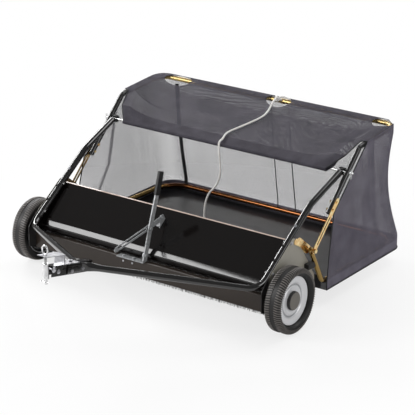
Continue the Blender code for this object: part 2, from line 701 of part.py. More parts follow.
def make_tyre(side):
    """Turned tyre whose tread drops into a groove after each lug."""
    width = TYRE_OUTER_X - TYRE_INNER_X
    inner = RIM_RADIUS + 0.0006
    shape = [(inner, 0.0020), (0.1220, 0), (0.1350, 0.0040), (TYRE_RADIUS, 0.0130),
             (TYRE_RADIUS, width - 0.0130), (0.1350, width - 0.0040), (0.1240, width),
             (0.1150, width - 0.0050), (inner, width - 0.0200)]
    segments = LUG_COUNT * 2
    bm = bmesh.new()
    rings = []
    for i in range(segments):
        angle = 2 * pi * i / segments
        drop = LUG_DEPTH if i % 2 else 0
        ring = []
        for radius, across in shape:
            tread = radius - drop if radius > 0.130 else radius
            x = side * (TYRE_INNER_X + across)
            ring.append(bm.verts.new((x, tread * sin(angle), AXLE_Z + side * -tread * cos(angle))))
        rings.append(ring)
    for ring, after in zip(rings, rings[1:] + rings[:1]):
        for j in range(len(shape)):
            k = (j + 1) % len(shape)
            bm.faces.new((ring[j], ring[k], after[k], after[j]))
    part(from_bmesh(bm, "tyre"), f"tyre_{SIDE_NAMES[side]}", "tyre_rubber", WHEEL_AXIS[side])


def make_wheel_rim(side):
    """Dished disc with concentric steps, a barrel for the tyre and a bored hub."""
    profile = [(RIM_RADIUS, 0.6950), (RIM_RADIUS, 0.6405), (0.1012, 0.6405), (0.1012, 0.6760),
               (0.0860, 0.6815), (0.0180, 0.6790), (0.0180, 0.6400), (0.0081, 0.6400),
               (0.0081, 0.6885), (0.0620, 0.6885), (0.0680, 0.6860), (0.0760, 0.6885), (0.0930, 0.6925)]
    rim = turned("rim", profile, side)
    part(rim, f"wheel_rim_{SIDE_NAMES[side]}", "silver_rim", WHEEL_AXIS[side])


def tooth_outline(centre, teeth, root, tip, phase):
    """Straight-flanked teeth as (y, z) points, from root to tip, narrower than the gaps between."""
    points = []
    pitch = 2 * pi / teeth
    for i in range(teeth):
        middle = phase + i * pitch
        for radius, share in ((root, -0.27), (tip, -0.13), (tip, 0.13), (root, 0.27)):
            angle = middle + share * pitch
            points.append((centre[0] + radius * cos(angle), centre[1] + radius * sin(angle)))
    return points


def make_gears(side):
    """Internal ring gear in the wheel and the pinion on the brush shaft, in mesh at rest."""
    mesh_angle = atan2(BRUSH_Z - AXLE_Z, BRUSH_Y)
    pitch = GEAR_MODULE * RING_TEETH / 2
    teeth = tooth_outline((0, AXLE_Z), RING_TEETH, pitch + DEDENDUM, pitch - ADDENDUM,
                          mesh_angle + pi / RING_TEETH)
    rim = ring_points((0, AXLE_Z), 0.0996, RING_TEETH // 2)
    ring = side_plate_shape("ring", rim, side * 0.6430, side * 0.6590, [teeth])
    part(ring, f"ring_gear_{SIDE_NAMES[side]}", "black_plastic", WHEEL_AXIS[side], smooth=False)
    small = GEAR_MODULE * PINION_TEETH / 2
    outline = tooth_outline((BRUSH_Y, BRUSH_Z), PINION_TEETH, small - DEDENDUM, small + ADDENDUM, mesh_angle)
    bore = ring_points((BRUSH_Y, BRUSH_Z), 0.0084, 16, 0.0)
    pinion = side_plate_shape("pinion", outline, side * 0.6440, side * 0.6580, [bore])
    part(pinion, f"pinion_{SIDE_NAMES[side]}", "dark_steel", BRUSH_AXIS, smooth=False)


def make_hub_cap(side):
    """Domed cap over the axle's end, hollow towards the rim."""
    profile = [(0, 0.7035), (0.0200, 0.7032), (0.0360, 0.7015), (0.0402, 0.6970), (0.0402, 0.6889),
               (0.0368, 0.6889), (0.0320, 0.6970), (0, 0.6995)]
    cap = turned("cap", profile, side)
    part(cap, f"hub_cap_{SIDE_NAMES[side]}", "grey_plastic", WHEEL_AXIS[side])


def make_brush_shaft():
    """Core tube between journals that run through the bearings to the pinions."""
    profile = [(0, 0.6620), (0.0080, 0.6620), (0.0080, 0.6050), (0.0200, 0.6050), (0.0200, -0.6050),
               (0.0080, -0.6050), (0.0080, -0.6620), (0, -0.6620)]
    shaft = turned("shaft", profile, 1, BRUSH_Y, BRUSH_Z, 16)
    part(shaft, "brush_shaft", "dark_steel", BRUSH_AXIS)


def make_bristle_strip(index):
    """A backing bar along the core, its outer face grown into tapered strands side by side.

    Each strand keeps one cell of the backing as its foot, so neighbours share an edge there and
    stand clear of each other above it.
    """
    angle = STRIP_PHASE - index * 2 * pi / STRIP_COUNT
    outward = Vector((0, cos(angle), sin(angle)))
    aside = Vector((0, -sin(angle), cos(angle)))
    centre = Vector((0, BRUSH_Y, BRUSH_Z))
    inner, foot, half = 0.0206, 0.0300, 0.0045
    length = 2 * BRUSH_HALF_LENGTH
    cell = length / STRANDS_PER_STRIP
    bm = bmesh.new()

    def spot(x, out, sideways):
        return bm.verts.new(centre + Vector((x, 0, 0)) + outward * out + aside * sideways)

    sections = []
    for i in range(STRANDS_PER_STRIP + 1):
        x = -BRUSH_HALF_LENGTH + i * cell
        sections.append((spot(x, foot, -half), spot(x, foot, half)))
    base = []
    for x in (-BRUSH_HALF_LENGTH, BRUSH_HALF_LENGTH):
        base.append((spot(x, inner, -half), spot(x, inner, half)))
    for i, (low, high) in enumerate(zip(sections, sections[1:])):
        x = -BRUSH_HALF_LENGTH + (i + 0.5) * cell
        lean = 0.0030 * sin(2.4 * i + index)
        bow = 0.0050 * sin(1.7 * i + 2 * index)
        reach = BRUSH_RADIUS - 0.0020 - 0.0030 * sin(0.9 * i)
        tip_low = spot(x + lean - 0.0011, reach, bow)
        tip_high = spot(x + lean + 0.0011, reach, bow)
        bm.faces.new((low[0], low[1], tip_low))
        bm.faces.new((high[0], tip_high, high[1]))
        bm.faces.new((low[0], tip_low, tip_high, high[0]))
        bm.faces.new((low[1], high[1], tip_high, tip_low))
    for j in (0, 1):
        bm.faces.new([base[0][j]] + [section[j] for section in sections] + [base[1][j]])
    bm.faces.new((base[0][0], base[1][0], base[1][1], base[0][1]))
    bm.faces.new((base[0][0], base[0][1], sections[0][1], sections[0][0]))
    bm.faces.new((base[1][0], base[1][1], sections[-1][1], sections[-1][0]))
    part(from_bmesh(bm, "strip"), f"bristle_strip_{index + 1}", "nylon_bristle", BRUSH_AXIS, smooth=False)


def make_side_tube(side):
    """Straight tube from the lift arm up to the upper hoop, drilled for the rod and the arm's bolts."""
    x = side * SIDE_TUBE_X
    start = (x, *arm_point(0.175))
    end = (x, *arm_point(SIDE_TUBE_TOP))
    bar = cylinder("side_tube", start, end, SIDE_TUBE_RADIUS, 12)
    reach = side * 0.020
    rod_hole = cylinder("rod_hole", (x - reach, ROD_Y, ROD_Z), (x + reach, ROD_Y, ROD_Z), ROD_RADIUS + 0.0005)
    cut(bar, rod_hole)
    for distance in ARM_BOLTS:
        spot = arm_point(distance)
        cut(bar, cylinder("bolt_hole", (x - reach, *spot), (x + reach, *spot), 0.0044, 8))
    part(bar, f"side_tube_{SIDE_NAMES[side]}", "black_paint", HOPPER_AXIS)


def make_lift_arm(side):
    """Flat bar with a long slot, from the dump pivot up the side tube, with its two bolts."""
    face = SIDE_TUBE_X + SIDE_TUBE_RADIUS + GAP
    slot = bar_outline(arm_point(0.030), arm_point(0.160), 0.0035, 4)
    holes = [ring_points((PIVOT_Y, PIVOT_Z), 0.0056, 12), slot]
    arm = side_plate_shape("arm", bar_outline(arm_point(0), arm_point(0.240), 0.0130), side * face,
                           side * (face + 0.003), holes)
    for distance in ARM_BOLTS:
        y, z = arm_point(distance)
        profile = [(0, face + 0.007), (0.0065, face + 0.007), (0.0065, face + 0.002), (0.0040, face + 0.002),
                   (0.0040, 0.6270), (0.0065, 0.6270), (0.0065, 0.6225), (0, 0.6225)]
        joined(arm, turned("arm_bolt", profile, side, y, z, 6))
    part(arm, f"lift_arm_{SIDE_NAMES[side]}", "yellow_zinc", HOPPER_AXIS)


def make_upper_hoop():
    """Round tube from both side tubes back round the top of the bag, rising a little to the rear."""
    start = (SIDE_TUBE_X, *arm_point(SIDE_TUBE_TOP + 0.0005))
    knee = (SIDE_TUBE_X, *arm_point(HOOP_KNEE))
    half = [start, knee, (SIDE_TUBE_X, UPPER_HOOP_Y, UPPER_HOOP_Z)]
    route = half + [(-x, y, z) for x, y, z in reversed(half)]
    bend = TOP_CORNER - (BAG_HALF_WIDTH - SIDE_TUBE_X)
    hoop = tube("hoop", rounded(route, (0.024, bend, bend, 0.024)), HOOP_RADIUS)
    part(hoop, "upper_hoop", "yellow_zinc", HOPPER_AXIS)


def make_lower_hoop():
    """Round tube from pivot eye to pivot eye, down and round the floor, with its front crossbar."""
    leg_length = hypot(LOWER_BEND_LEG[0] - PIVOT_Y, LOWER_BEND_LEG[1] - PIVOT_Z)
    along = ((LOWER_BEND_LEG[0] - PIVOT_Y) / leg_length, (LOWER_BEND_LEG[1] - PIVOT_Z) / leg_length)

    def leg(distance):
        return PIVOT_Y + along[0] * distance, PIVOT_Z + along[1] * distance

    x = LOWER_HOOP_X
    half = [(x, *leg(0.016)), (x, *LOWER_BEND_LEG), (x, LOWER_HOOP_Y, 0.096)]
    route = half + [(-x, y, z) for x, y, z in reversed(half)]
    hoop = tube("hoop", rounded(route, (0.040, 0.120, 0.120, 0.040)), HOOP_RADIUS)
    joined(hoop, cylinder("crossbar", (-x, 0.330, 0.1065), (x, 0.330, 0.1065), 0.006, 10))
    for side in (1, -1):
        hole = ring_points((PIVOT_Y, PIVOT_Z), 0.0056, 12)
        outline = bar_outline(leg(0), leg(0.040), 0.0125)
        joined(hoop, side_plate_shape("eye", outline, side * 0.6330, side * 0.6400, [hole]))
    part(hoop, "lower_hoop", "yellow_zinc", HOPPER_AXIS)


def make_cross_rod():
    """Rod through the hem and the side tubes; its ends are drilled for the hairpins."""
    end = 0.6660
    rod = cylinder("rod", (-end, ROD_Y, ROD_Z), (end, ROD_Y, ROD_Z), ROD_RADIUS, 12)
    for side in (1, -1):
        x = side * 0.6590
        cut(rod, cylinder("cross_hole", (x, ROD_Y, ROD_Z - 0.010), (x, ROD_Y, ROD_Z + 0.010), 0.0017, 8))
        route = [Vector((x, ROD_Y, ROD_Z)) + spot for spot in hairpin_route((0, 0, 1), (0, -1, 0))]
        part(tube("clip", route, 0.0012, 1), f"rod_clip_{SIDE_NAMES[side]}", "bright_steel", HOPPER_AXIS)
    part(rod, "cross_rod", "bright_steel", HOPPER_AXIS)


def spaced(low, high, count):
    return [low + (high - low) * i / (count - 1) for i in range(count)]


def hopper_outline(side_ys, y_rear, half_width, corner, corner_steps=4):
    """(x, y) points from the left front, round the back, to the right front."""
    middle = (half_width - corner, y_rear - corner)
    right = [(half_width, y) for y in side_ys]
    right += ring_points(middle, corner, corner_steps + 1, 0, pi / 2)[1:]
    reach = half_width - corner
    rear = [(reach * sin(pi / 2 * (1 - 2 * i / REAR_STEPS)), y_rear) for i in range(1, REAR_STEPS)]
    left = [(-x, y) for x, y in reversed(right)]
    return (right + rear + left)[::-1]


def top_height(x, edge_x, edge_z, y):
    """The top cloth hangs nearly flat and rises to its side edges and over the upper hoop."""
    middle = HEM_Z + CLOTH_SLOPE * (y - HEM_Y)
    t = min(1.0, max(0.0, (y - CLOTH_RISE[0]) / (CLOTH_RISE[1] - CLOTH_RISE[0])))
    middle += (BAG_TOP_Z - middle) * t * t * (3 - 2 * t)
    share = min(1.0, abs(x / edge_x) / CLOTH_SHOULDER) ** 8
    return middle + (edge_z - middle) * share


def edge_height(y):
    """The bag's top edge lies on the hoop's side run, which rises to the rear."""
    knee_y, knee_z = arm_point(HOOP_KNEE)
    return min(BAG_TOP_Z, knee_z + HOOP_TILT * (y - knee_y) + BAG_TOP_Z - UPPER_HOOP_Z)


def make_hopper_bag():
    """Mesh cloth as a thin shell: sides and back in one run, and a top cloth to the front hem."""
    bm = bmesh.new()
    clear = -0.0155
    side_tops = [arm_point(distance, clear) for distance in (0.185, 0.290, 0.390, 0.500)]
    side_tops += [(y, edge_height(y)) for y in (CLIP_Y, 0.665, CLOTH_RISE[0], BAG_REAR_TOP - TOP_CORNER)]
    top = hopper_outline([y for y, z in side_tops], BAG_REAR_TOP, BAG_HALF_WIDTH, TOP_CORNER)
    bottom_ys = spaced(0.314, BAG_REAR_BOTTOM - BOTTOM_CORNER, len(side_tops))
    bottom = hopper_outline(bottom_ys, BAG_REAR_BOTTOM, BAG_HALF_WIDTH, BOTTOM_CORNER)
    heights = {round(y, 4): z for y, z in side_tops}
    columns = []
    for (x_low, y_low), (x_high, y_high) in zip(bottom, top):
        z_high = heights.get(round(y_high, 4), edge_height(y_high))
        near_corner = max(0.0, 1 - hypot(abs(x_low) - 0.60, y_low - 0.89) / 0.30)
        column = []
        for share in BAG_ROWS:
            lean = min(1.0, max(0.0, (share - BAG_ROWS[1]) / (BAG_ROWS[-2] - BAG_ROWS[1])))
            pull = CORNER_PULL * near_corner * sin(pi * lean)
            x = x_low + (x_high - x_low) * lean
            y = y_low + (y_high - y_low) * lean
            z = BAG_BOTTOM_Z + (z_high - BAG_BOTTOM_Z) * share
            column.append(bm.verts.new((x - pull * 0.6 * x / BAG_HALF_WIDTH, y - pull, z)))
        columns.append(column)
    for left, right in zip(columns, columns[1:]):
        for i in range(len(BAG_ROWS) - 1):
            bm.faces.new((left[i], right[i], right[i + 1], left[i + 1]))
    tops = [column[-1] for column in columns]
    half_count = (len(tops) - REAR_STEPS - 1) // 2
    rows = []
    hem_rows = ((HEM_Y, HEM_HALF_WIDTH, HEM_Z), (0.520, 0.602, 0.600), (0.600, 0.622, edge_height(0.600)))
    for y, half_width, z in hem_rows:
        row = []
        for i in range(REAR_STEPS + 1):
            x = half_width * sin(pi / 2 * (2 * i / REAR_STEPS - 1))
            row.append(bm.verts.new((x, y, top_height(x, half_width, z, y))))
        rows.append(row)
    for left, right in list(zip(tops, reversed(tops)))[4:half_count]:
        edge = Vector(right.co)
        row = [left]
        for i in range(1, REAR_STEPS):
            x = edge.x * sin(pi / 2 * (2 * i / REAR_STEPS - 1))
            row.append(bm.verts.new((x, edge.y, top_height(x, edge.x, edge.z, edge.y))))
        rows.append(row + [right])
    rows.append(tops[half_count:half_count + REAR_STEPS + 1])
    for near, far in zip(rows, rows[1:]):
        for i in range(REAR_STEPS):
            bm.faces.new((near[i], near[i + 1], far[i + 1], far[i]))
    bag = from_bmesh(bm, "bag")
    thicken(bag, BAG_THICKNESS, even=False)
    for x, y, reach in CUT_OUTS:
        cut(bag, cut_out(x, y, reach))
    part(bag, "hopper_bag", "mesh_cloth", HOPPER_AXIS)


def cut_out(x, y, reach):
    """The half-moon opening where the upper hoop shows."""
    bm = bmesh.new()
    bmesh.ops.create_uvsphere(bm, u_segments=14, v_segments=8, radius=1)
    bmesh.ops.scale(bm, vec=(reach, 0.042, 0.041), verts=bm.verts)
    bmesh.ops.translate(bm, vec=(x, y, 0.668), verts=bm.verts)
    return from_bmesh(bm, "cut_out")


def make_hopper_tray():
    """Vinyl floor with a front lip that wraps the crossbar."""
    straight = BAG_REAR_BOTTOM - BOTTOM_CORNER
    outline = hopper_outline([0.3140, straight], BAG_REAR_BOTTOM, BAG_HALF_WIDTH, BOTTOM_CORNER)
    bm = bmesh.new()
    face = bm.faces.new([bm.verts.new((x, y, 0.0665)) for x, y in outline])
    bmesh.ops.triangulate(bm, faces=[face])
    floor = from_bmesh(bm, "floor")
    if floor.data.polygons[0].normal.z < 0:
        floor.data.flip_normals()
    thicken(floor, 0.002)
    lip = box("lip", (-0.6220, 0.3140, 0.0650), (0.6220, 0.3160, 0.1240))
    part(joined(floor, lip), "hopper_tray", "black_vinyl", HOPPER_AXIS, smooth=False)


def smooth_route(points, spacing):
    """Evenly read points of a Catmull-Rom curve through a list of places."""
    ends = [points[0] * 2 - points[1]] + points + [points[-1] * 2 - points[-2]]
    fine = []
    for a, b, c, d in zip(ends, ends[1:], ends[2:], ends[3:]):
        for i in range(20):
            t = i / 20
            fine.append(0.5 * (2 * b + (c - a) * t + (2 * a - 5 * b + 4 * c - d) * t ** 2
                               + (3 * b - a - 3 * c + d) * t ** 3))
    fine.append(points[-1])
    route = [fine[0]]
    travelled = 0.0
    for before, after in zip(fine, fine[1:]):
        travelled += (after - before).length
        if travelled >= spacing:
            route.append(after)
            travelled = 0.0
    if (route[-1] - fine[-1]).length < spacing * 0.5:
        route.pop()
    return route + [fine[-1]]


def on_cloth(x, y):
    """The rope's centre where it lies on the top cloth."""
    return Vector((x, y, top_height(0, 1, HEM_Z, y) + ROPE_RADIUS + 0.0032))


ROPE_PLACES = [
    on_cloth(0.036, 0.839), on_cloth(0.036, 0.807), on_cloth(0.038, 0.7645), on_cloth(0.041, 0.706),
    on_cloth(0.010, 0.616), on_cloth(-0.021, 0.538), on_cloth(-0.008, 0.480),
    Vector((-0.003, 0.4590, 0.5630)), Vector((0.000, 0.4440, 0.5530)), Vector((0.002, 0.4410, 0.5250)),
    Vector((0.003, 0.4440, 0.4910)), Vector((0.007, 0.4450, 0.4190)), Vector((-0.014, 0.4460, 0.3580)),
    Vector((-0.057, 0.4470, 0.3060)), Vector((-0.079, 0.4480, 0.2440)), Vector((-0.084, 0.4500, 0.1700)),
    Vector((-0.075, 0.4520, 0.1100)), Vector((-0.052, 0.4546, 0.0790)), Vector((-0.026, 0.4546, 0.0740)),
    Vector((-0.0020, 0.4546, 0.0810)), Vector((0.0202, 0.4546, 0.0824)),
]


def make_pull_rope():
    """Rope from its knot over the top cloth, down through the mouth and on to the coil."""
    rope = tube("rope", smooth_route(ROPE_PLACES, 0.025), ROPE_RADIUS, 2)
    part(rope, "pull_rope", "rope_fibre", HOPPER_AXIS)


def make_rope_coil():
    """The rest of the rope in two layers: spiral in, climb half a turn, spiral out."""
    floor = 0.0665 + GAP + ROPE_RADIUS + 0.0003
    layer = 2 * ROPE_RADIUS + 0.0018
    climb = 0.5
    total = 2 * COIL_TURNS + climb
    steps = int(total * COIL_POINTS)
    reverse = COIL_TURNS + climb / 2
    last_angle = -pi / 2
    points = []
    for i in range(steps + 1):
        turn = total * i / steps
        inward = min(turn, reverse)
        outward = max(0.0, turn - reverse)
        rise = min(1.0, max(0.0, (turn - COIL_TURNS) / climb))
        radius = COIL_OUTER - COIL_PITCH * (inward - outward)
        angle = last_angle - 2 * pi * (turn - total)
        height = floor + layer * (0.5 - 0.5 * cos(pi * rise))
        x = COIL_CENTRE[0] + radius * cos(angle)
        y = COIL_CENTRE[1] + radius * sin(angle)
        points.append(Vector((x, y, height)))
    for end, neighbour in ((0, 1), (-1, -2)):
        straight = (points[end] - points[neighbour]).normalized() * 2 * ROPE_RADIUS
        straight.z = 0
        points.insert(0 if end == 0 else len(points), points[end] + straight)
    least = least_self_gap(points)
    print(f"rope_coil: least gap to itself {least * 1000:.2f} mm, end at", points[-1])
    coil = tube("coil", points, ROPE_RADIUS, 1)
    part(coil, "rope_coil", "rope_fibre", HOPPER_AXIS)


def least_self_gap(points):
    """Least distance between stretches at least half a turn apart, less the rope's diameter."""
    skip = COIL_POINTS // 2
    best = min((a - b).length for i, a in enumerate(points) for b in points[i + skip:])
    return best - 2 * ROPE_RADIUS


def make_rope_knot():
    """The rope's turn round the upper hoop with its knot in front."""
    centre = Vector((0.036, UPPER_HOOP_Y, UPPER_HOOP_Z))
    around = HOOP_RADIUS + ROPE_RADIUS + 0.0008
    loop = [centre + Vector((0, y, z)) for y, z in ring_points((0, 0), around, 14)]
    ring = tube("ring", loop, ROPE_RADIUS, 1, closed=True)
    bm = bmesh.new()
    bmesh.ops.create_uvsphere(bm, u_segments=10, v_segments=6, radius=0.0085)
    bmesh.ops.translate(bm, vec=centre + Vector((0, -0.0130, 0.0150)), verts=bm.verts)
    joined(ring, from_bmesh(bm, "ball"))
    part(ring, "rope_knot", "rope_fibre", HOPPER_AXIS)


def build():
    for side in (1, -1):
        make_side_plate(side)
        make_stub_axle(side)
        make_brush_bearing(side)
        make_drawbar_tube(side)
        make_rod_saddle(side)
        make_pivot_lug(side)
        make_rest_bumper(side)
        make_tyre(side)
        make_wheel_rim(side)
        make_gears(side)
        make_hub_cap(side)
        make_side_tube(side)
        make_lift_arm(side)
    make_hood()
    make_front_panel()
    make_tongue()
    make_tongue_bolts()
    make_hitch_bracket()
    make_hitch_sleeve()
    make_hitch_pin()
    make_lever_foot()
    make_lever()
    make_adjusting_strap()
    make_strap_angle()
    make_brush_shaft()
    for index in range(STRIP_COUNT):
        make_bristle_strip(index)
    make_upper_hoop()
    make_lower_hoop()
    make_cross_rod()
    make_hopper_bag()
    make_hopper_tray()
    make_pull_rope()
    make_rope_coil()
    make_rope_knot()


build()
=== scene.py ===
"""Looks of a tow-behind lawn sweeper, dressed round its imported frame.

Metres, +Z up, hitch towards -Y. Points are written in the machine's own measures, with Y = 0 at the
wheel axle, and are moved by AXLE_Y when a mesh is made. Run in Blender 4.5.
"""

from math import cos, hypot, pi, radians, sin

import bmesh
import bpy
import numpy as np
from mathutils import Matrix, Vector


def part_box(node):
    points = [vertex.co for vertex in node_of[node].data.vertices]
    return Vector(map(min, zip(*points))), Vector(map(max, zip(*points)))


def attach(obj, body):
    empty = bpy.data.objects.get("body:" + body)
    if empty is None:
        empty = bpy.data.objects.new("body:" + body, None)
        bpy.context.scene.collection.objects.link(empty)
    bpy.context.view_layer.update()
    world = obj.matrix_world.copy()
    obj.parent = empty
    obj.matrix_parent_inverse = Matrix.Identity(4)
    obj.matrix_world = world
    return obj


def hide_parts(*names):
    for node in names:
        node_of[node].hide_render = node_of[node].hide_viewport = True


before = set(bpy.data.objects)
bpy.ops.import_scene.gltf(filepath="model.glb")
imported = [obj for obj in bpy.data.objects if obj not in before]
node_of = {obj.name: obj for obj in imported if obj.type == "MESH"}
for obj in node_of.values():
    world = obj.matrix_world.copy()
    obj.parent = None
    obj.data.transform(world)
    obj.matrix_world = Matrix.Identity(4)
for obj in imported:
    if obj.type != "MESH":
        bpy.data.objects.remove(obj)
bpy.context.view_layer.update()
tyre_low, tyre_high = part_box("tyre_right")
AXLE_Y = (tyre_low.y + tyre_high.y) / 2
AXLE_Z = (tyre_low.z + tyre_high.z) / 2
SIDE_NAMES = {1: "right", -1: "left"}


# The view
# A long lens from the front right, a little above the machine, as a catalogue picture is taken.
def placed(name, data):
    """A new object in the scene."""
    made = bpy.data.objects.new(name, data)
    bpy.context.scene.collection.objects.link(made)
    return made


VIEW_TARGET = Vector((0.17094, 0.12473 + AXLE_Y, 0.38981))
VIEW_AZIMUTH = radians(36.116)
VIEW_ELEVATION = radians(20.737)
VIEW_DISTANCE = 7.595
VIEW_LENS = 156.145
towards_camera = Vector((sin(VIEW_AZIMUTH) * cos(VIEW_ELEVATION),
                         -cos(VIEW_AZIMUTH) * cos(VIEW_ELEVATION),
                         sin(VIEW_ELEVATION)))
camera = placed("camera", bpy.data.cameras.new("camera"))
camera.data.lens = VIEW_LENS
camera.data.sensor_width = 36
camera.location = VIEW_TARGET + towards_camera * VIEW_DISTANCE
camera.rotation_euler = towards_camera.to_track_quat("Z", "Y").to_euler()
bpy.context.scene.camera = camera


# Pull rope
# A three-strand white rope, 9 mm thick: knotted round the hopper's upper hoop, over the top cloth,
# down through the hopper's mouth, and the rest coiled on the floor behind the hood.
class Socket:
    """A shader output that takes part in Python arithmetic; each operator adds its Math node."""

    def __init__(self, finish, output):
        self.finish = finish
        self.output = output

    def math(self, operation, *values):
        return self.finish.node("Math", {"operation": operation}, dict(enumerate(values)))

    def __add__(self, other):
        return self.math("ADD", self, other)

    def __sub__(self, other):
        return self.math("SUBTRACT", self, other)

    def __rsub__(self, other):
        return self.math("SUBTRACT", other, self)

    def __mul__(self, other):
        return self.math("MULTIPLY", self, other)

    def sine(self):
        return self.math("SINE", self)

    def size(self):
        return self.math("ABSOLUTE", self)

    def least(self, other):
        return self.math("MINIMUM", self, other)

    def step(self, low, high):
        """0 below low, 1 above high and straight between them."""
        values = {0: self, 1: low, 2: high}
        return self.finish.node("MapRange", {"clamp": True}, values)


class Finish:
    """A Principled material: its plain values, and the nodes that vary them."""

    def __init__(self, name, colour, roughness, metallic=0.0, **plain):
        self.material = bpy.data.materials.new(name)
        self.material.use_nodes = True
        self.tree = self.material.node_tree
        self.shader = self.tree.nodes["Principled BSDF"]
        first = {"Base Color": (*colour, 1), "Roughness": roughness, "Metallic": metallic}
        self.put(self.shader, {**first, **plain})

    def put(self, node, values):
        for key, value in values.items():
            if isinstance(value, Socket):
                self.tree.links.new(value.output, node.inputs[key])
            else:
                node.inputs[key].default_value = value

    def node(self, kind, settings=None, values=None, output=0):
        """Any node: its type, its settings, then the values or links of its sockets."""
        node = self.tree.nodes.new("ShaderNode" + kind)
        for key, value in (settings or {}).items():
            setattr(node, key, value)
        self.put(node, values or {})
        return Socket(self, node.outputs[output])

    def place(self, stretch=(1, 1, 1)):
        """The point in metres, stretched along the axes."""
        point = self.node("TexCoord", output=3)
        return self.node("VectorMath", {"operation": "MULTIPLY"}, {0: point, 1: stretch})

    def along(self, axis, point=None):
        """One part of a point: of the place in metres, unless another point is given."""
        return self.node("SeparateXYZ", None, {0: point or self.place()}, axis)

    def math_length(self, across, up):
        """Length of a vector with two parts."""
        flat = self.node("CombineXYZ", None, {0: across, 1: up})
        return self.node("VectorMath", {"operation": "LENGTH"}, {0: flat}, 1)

    def noise(self, scale, detail=3.0, stretch=(1, 1, 1)):
        values = {"Vector": self.place(stretch), "Scale": scale, "Detail": detail}
        return self.node("TexNoise", None, values)

    def mixed(self, factor, first, second):
        values = {0: factor, 6: (*first, 1), 7: (*second, 1)}
        return self.node("Mix", {"data_type": "RGBA"}, values, 2)

    def colour(self, factor, first, second):
        self.put(self.shader, {"Base Color": self.mixed(factor, first, second)})

    def roughness(self, value):
        self.put(self.shader, {"Roughness": value})

    def bump(self, height, distance, strength=1.0):
        values = {"Height": height, "Distance": distance, "Strength": strength}
        self.put(self.shader, {"Normal": self.node("Bump", None, values)})


def grid_faces(rows, columns, wrap_rows=False, wrap_columns=False):
    """Quads of a grid whose point numbers are row * columns + column."""
    row = np.arange(rows if wrap_rows else rows - 1)[:, None]
    column = np.arange(columns if wrap_columns else columns - 1)[None, :]
    below = (row + 1) % rows * columns
    here = row * columns
    beside = (column + 1) % columns
    quads = np.stack([here + column, here + beside, below + beside, below + column], axis=-1)
    return quads.reshape(-1, 4).tolist()


def together(*shells):
    """Several (points, faces) shells as one."""
    points = []
    faces = []
    count = 0
    for shell_points, shell_faces in shells:
        points.append(shell_points)
        faces += [[index + count for index in face] for face in shell_faces]
        count += len(shell_points)
    return np.vstack(points), faces


def make_piece(name, shell, finish, body, sharp=35, replaces=(), uv=None, sealed=True):
    """A mesh from (points, faces), carried by a body; a sealed one has its faces turned outwards."""
    points, faces = shell
    mesh = bpy.data.meshes.new(name)
    mesh.from_pydata((points + np.array([0, AXLE_Y, 0])).tolist(), [], faces)
    if uv is not None:
        corner = np.zeros(len(mesh.loops), int)
        mesh.loops.foreach_get("vertex_index", corner)
        layer = mesh.uv_layers.new(name="place")
        layer.uv.foreach_set("vector", uv[corner].ravel())
    bm = bmesh.new()
    bm.from_mesh(mesh)
    bmesh.ops.remove_doubles(bm, verts=bm.verts, dist=0.000002)
    if sealed:
        bmesh.ops.recalc_face_normals(bm, faces=bm.faces)
    bm.to_mesh(mesh)
    bm.free()
    mesh.materials.append(finish.material)
    mesh.shade_smooth()
    mesh.set_sharp_from_angle(angle=radians(sharp))
    piece = placed(name, mesh)
    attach(piece, body)
    if replaces:
        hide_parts(*replaces)
    return piece


def repaint(finish, slot, *nodes):
    """Give CAD nodes a finish in place of their plain one."""
    for name in nodes:
        mesh = node_of[name].data
        mesh.materials.clear()
        mesh.materials.append(finish.material)


def unit(vectors):
    return vectors / np.linalg.norm(vectors, axis=-1, keepdims=True)


def swept(route, ring, side, closed=False):
    """A ring of (across, up) pairs carried along a route.

    At each place the ring stands square to the route, and its first axis leans to the side vector.
    """
    route = np.asarray(route, float)
    if closed:
        tangent = unit(np.roll(route, -1, axis=0) - np.roll(route, 1, axis=0))
    else:
        runs = unit(np.diff(route, axis=0))
        tangent = unit(np.vstack([runs[:1], runs[:-1] + runs[1:], runs[-1:]]))
    side = np.broadcast_to(np.asarray(side, float), route.shape)
    across = unit(side - (side * tangent).sum(axis=1, keepdims=True) * tangent)
    up = np.cross(tangent, across)
    ring = np.broadcast_to(ring, (len(route),) + np.asarray(ring).shape[-2:])
    points = route[:, None] + ring[..., :1] * across[:, None] + ring[..., 1:] * up[:, None]
    sides = ring.shape[1]
    faces = grid_faces(len(route), sides, wrap_rows=closed, wrap_columns=True)
    if not closed:
        faces.append(list(range(sides)))
        faces.append([(len(route) - 1) * sides + i for i in range(sides)])
    return points.reshape(-1, 3), faces


def circle(radius, sides=20):
    angle = np.arange(sides) * 2 * pi / sides
    return radius * np.stack([np.cos(angle), np.sin(angle)], axis=1)


def smooth_curve(places, steps=12):
    """Catmull-Rom curve: a cubic on each stretch, bent by the places beyond its ends."""
    places = np.asarray(places, float)
    ends = np.vstack([2 * places[0] - places[1], places, 2 * places[-1] - places[-2]])[:, None]
    a, b, c, d = ends[:-3], ends[1:-2], ends[2:-1], ends[3:]
    t = np.linspace(0, 1, steps, endpoint=False)[None, :, None]
    curve = 0.5 * (2 * b + (c - a) * t + (2 * a - 5 * b + 4 * c - d) * t ** 2
                   + (3 * b - a - 3 * c + d) * t ** 3)
    return np.vstack([curve.reshape(-1, places.shape[1]), places[-1:]])


def lengths(points):
    """The length run at each point of a curve."""
    steps = np.linalg.norm(np.diff(points, axis=0), axis=1)
    return np.concatenate([[0], np.cumsum(steps)])


def evenly(points, spacing):
    """The same curve read at even steps of its length."""
    run = lengths(points)
    at = np.linspace(0, run[-1], int(round(run[-1] / spacing)) + 1)
    return np.stack([np.interp(at, run, points[:, k]) for k in range(3)], axis=1)


def eased(value, low, high):
    """0 below low, 1 above high, with a smooth run between them."""
    t = np.clip((value - low) / (high - low), 0, 1)
    return t * t * (3 - 2 * t)


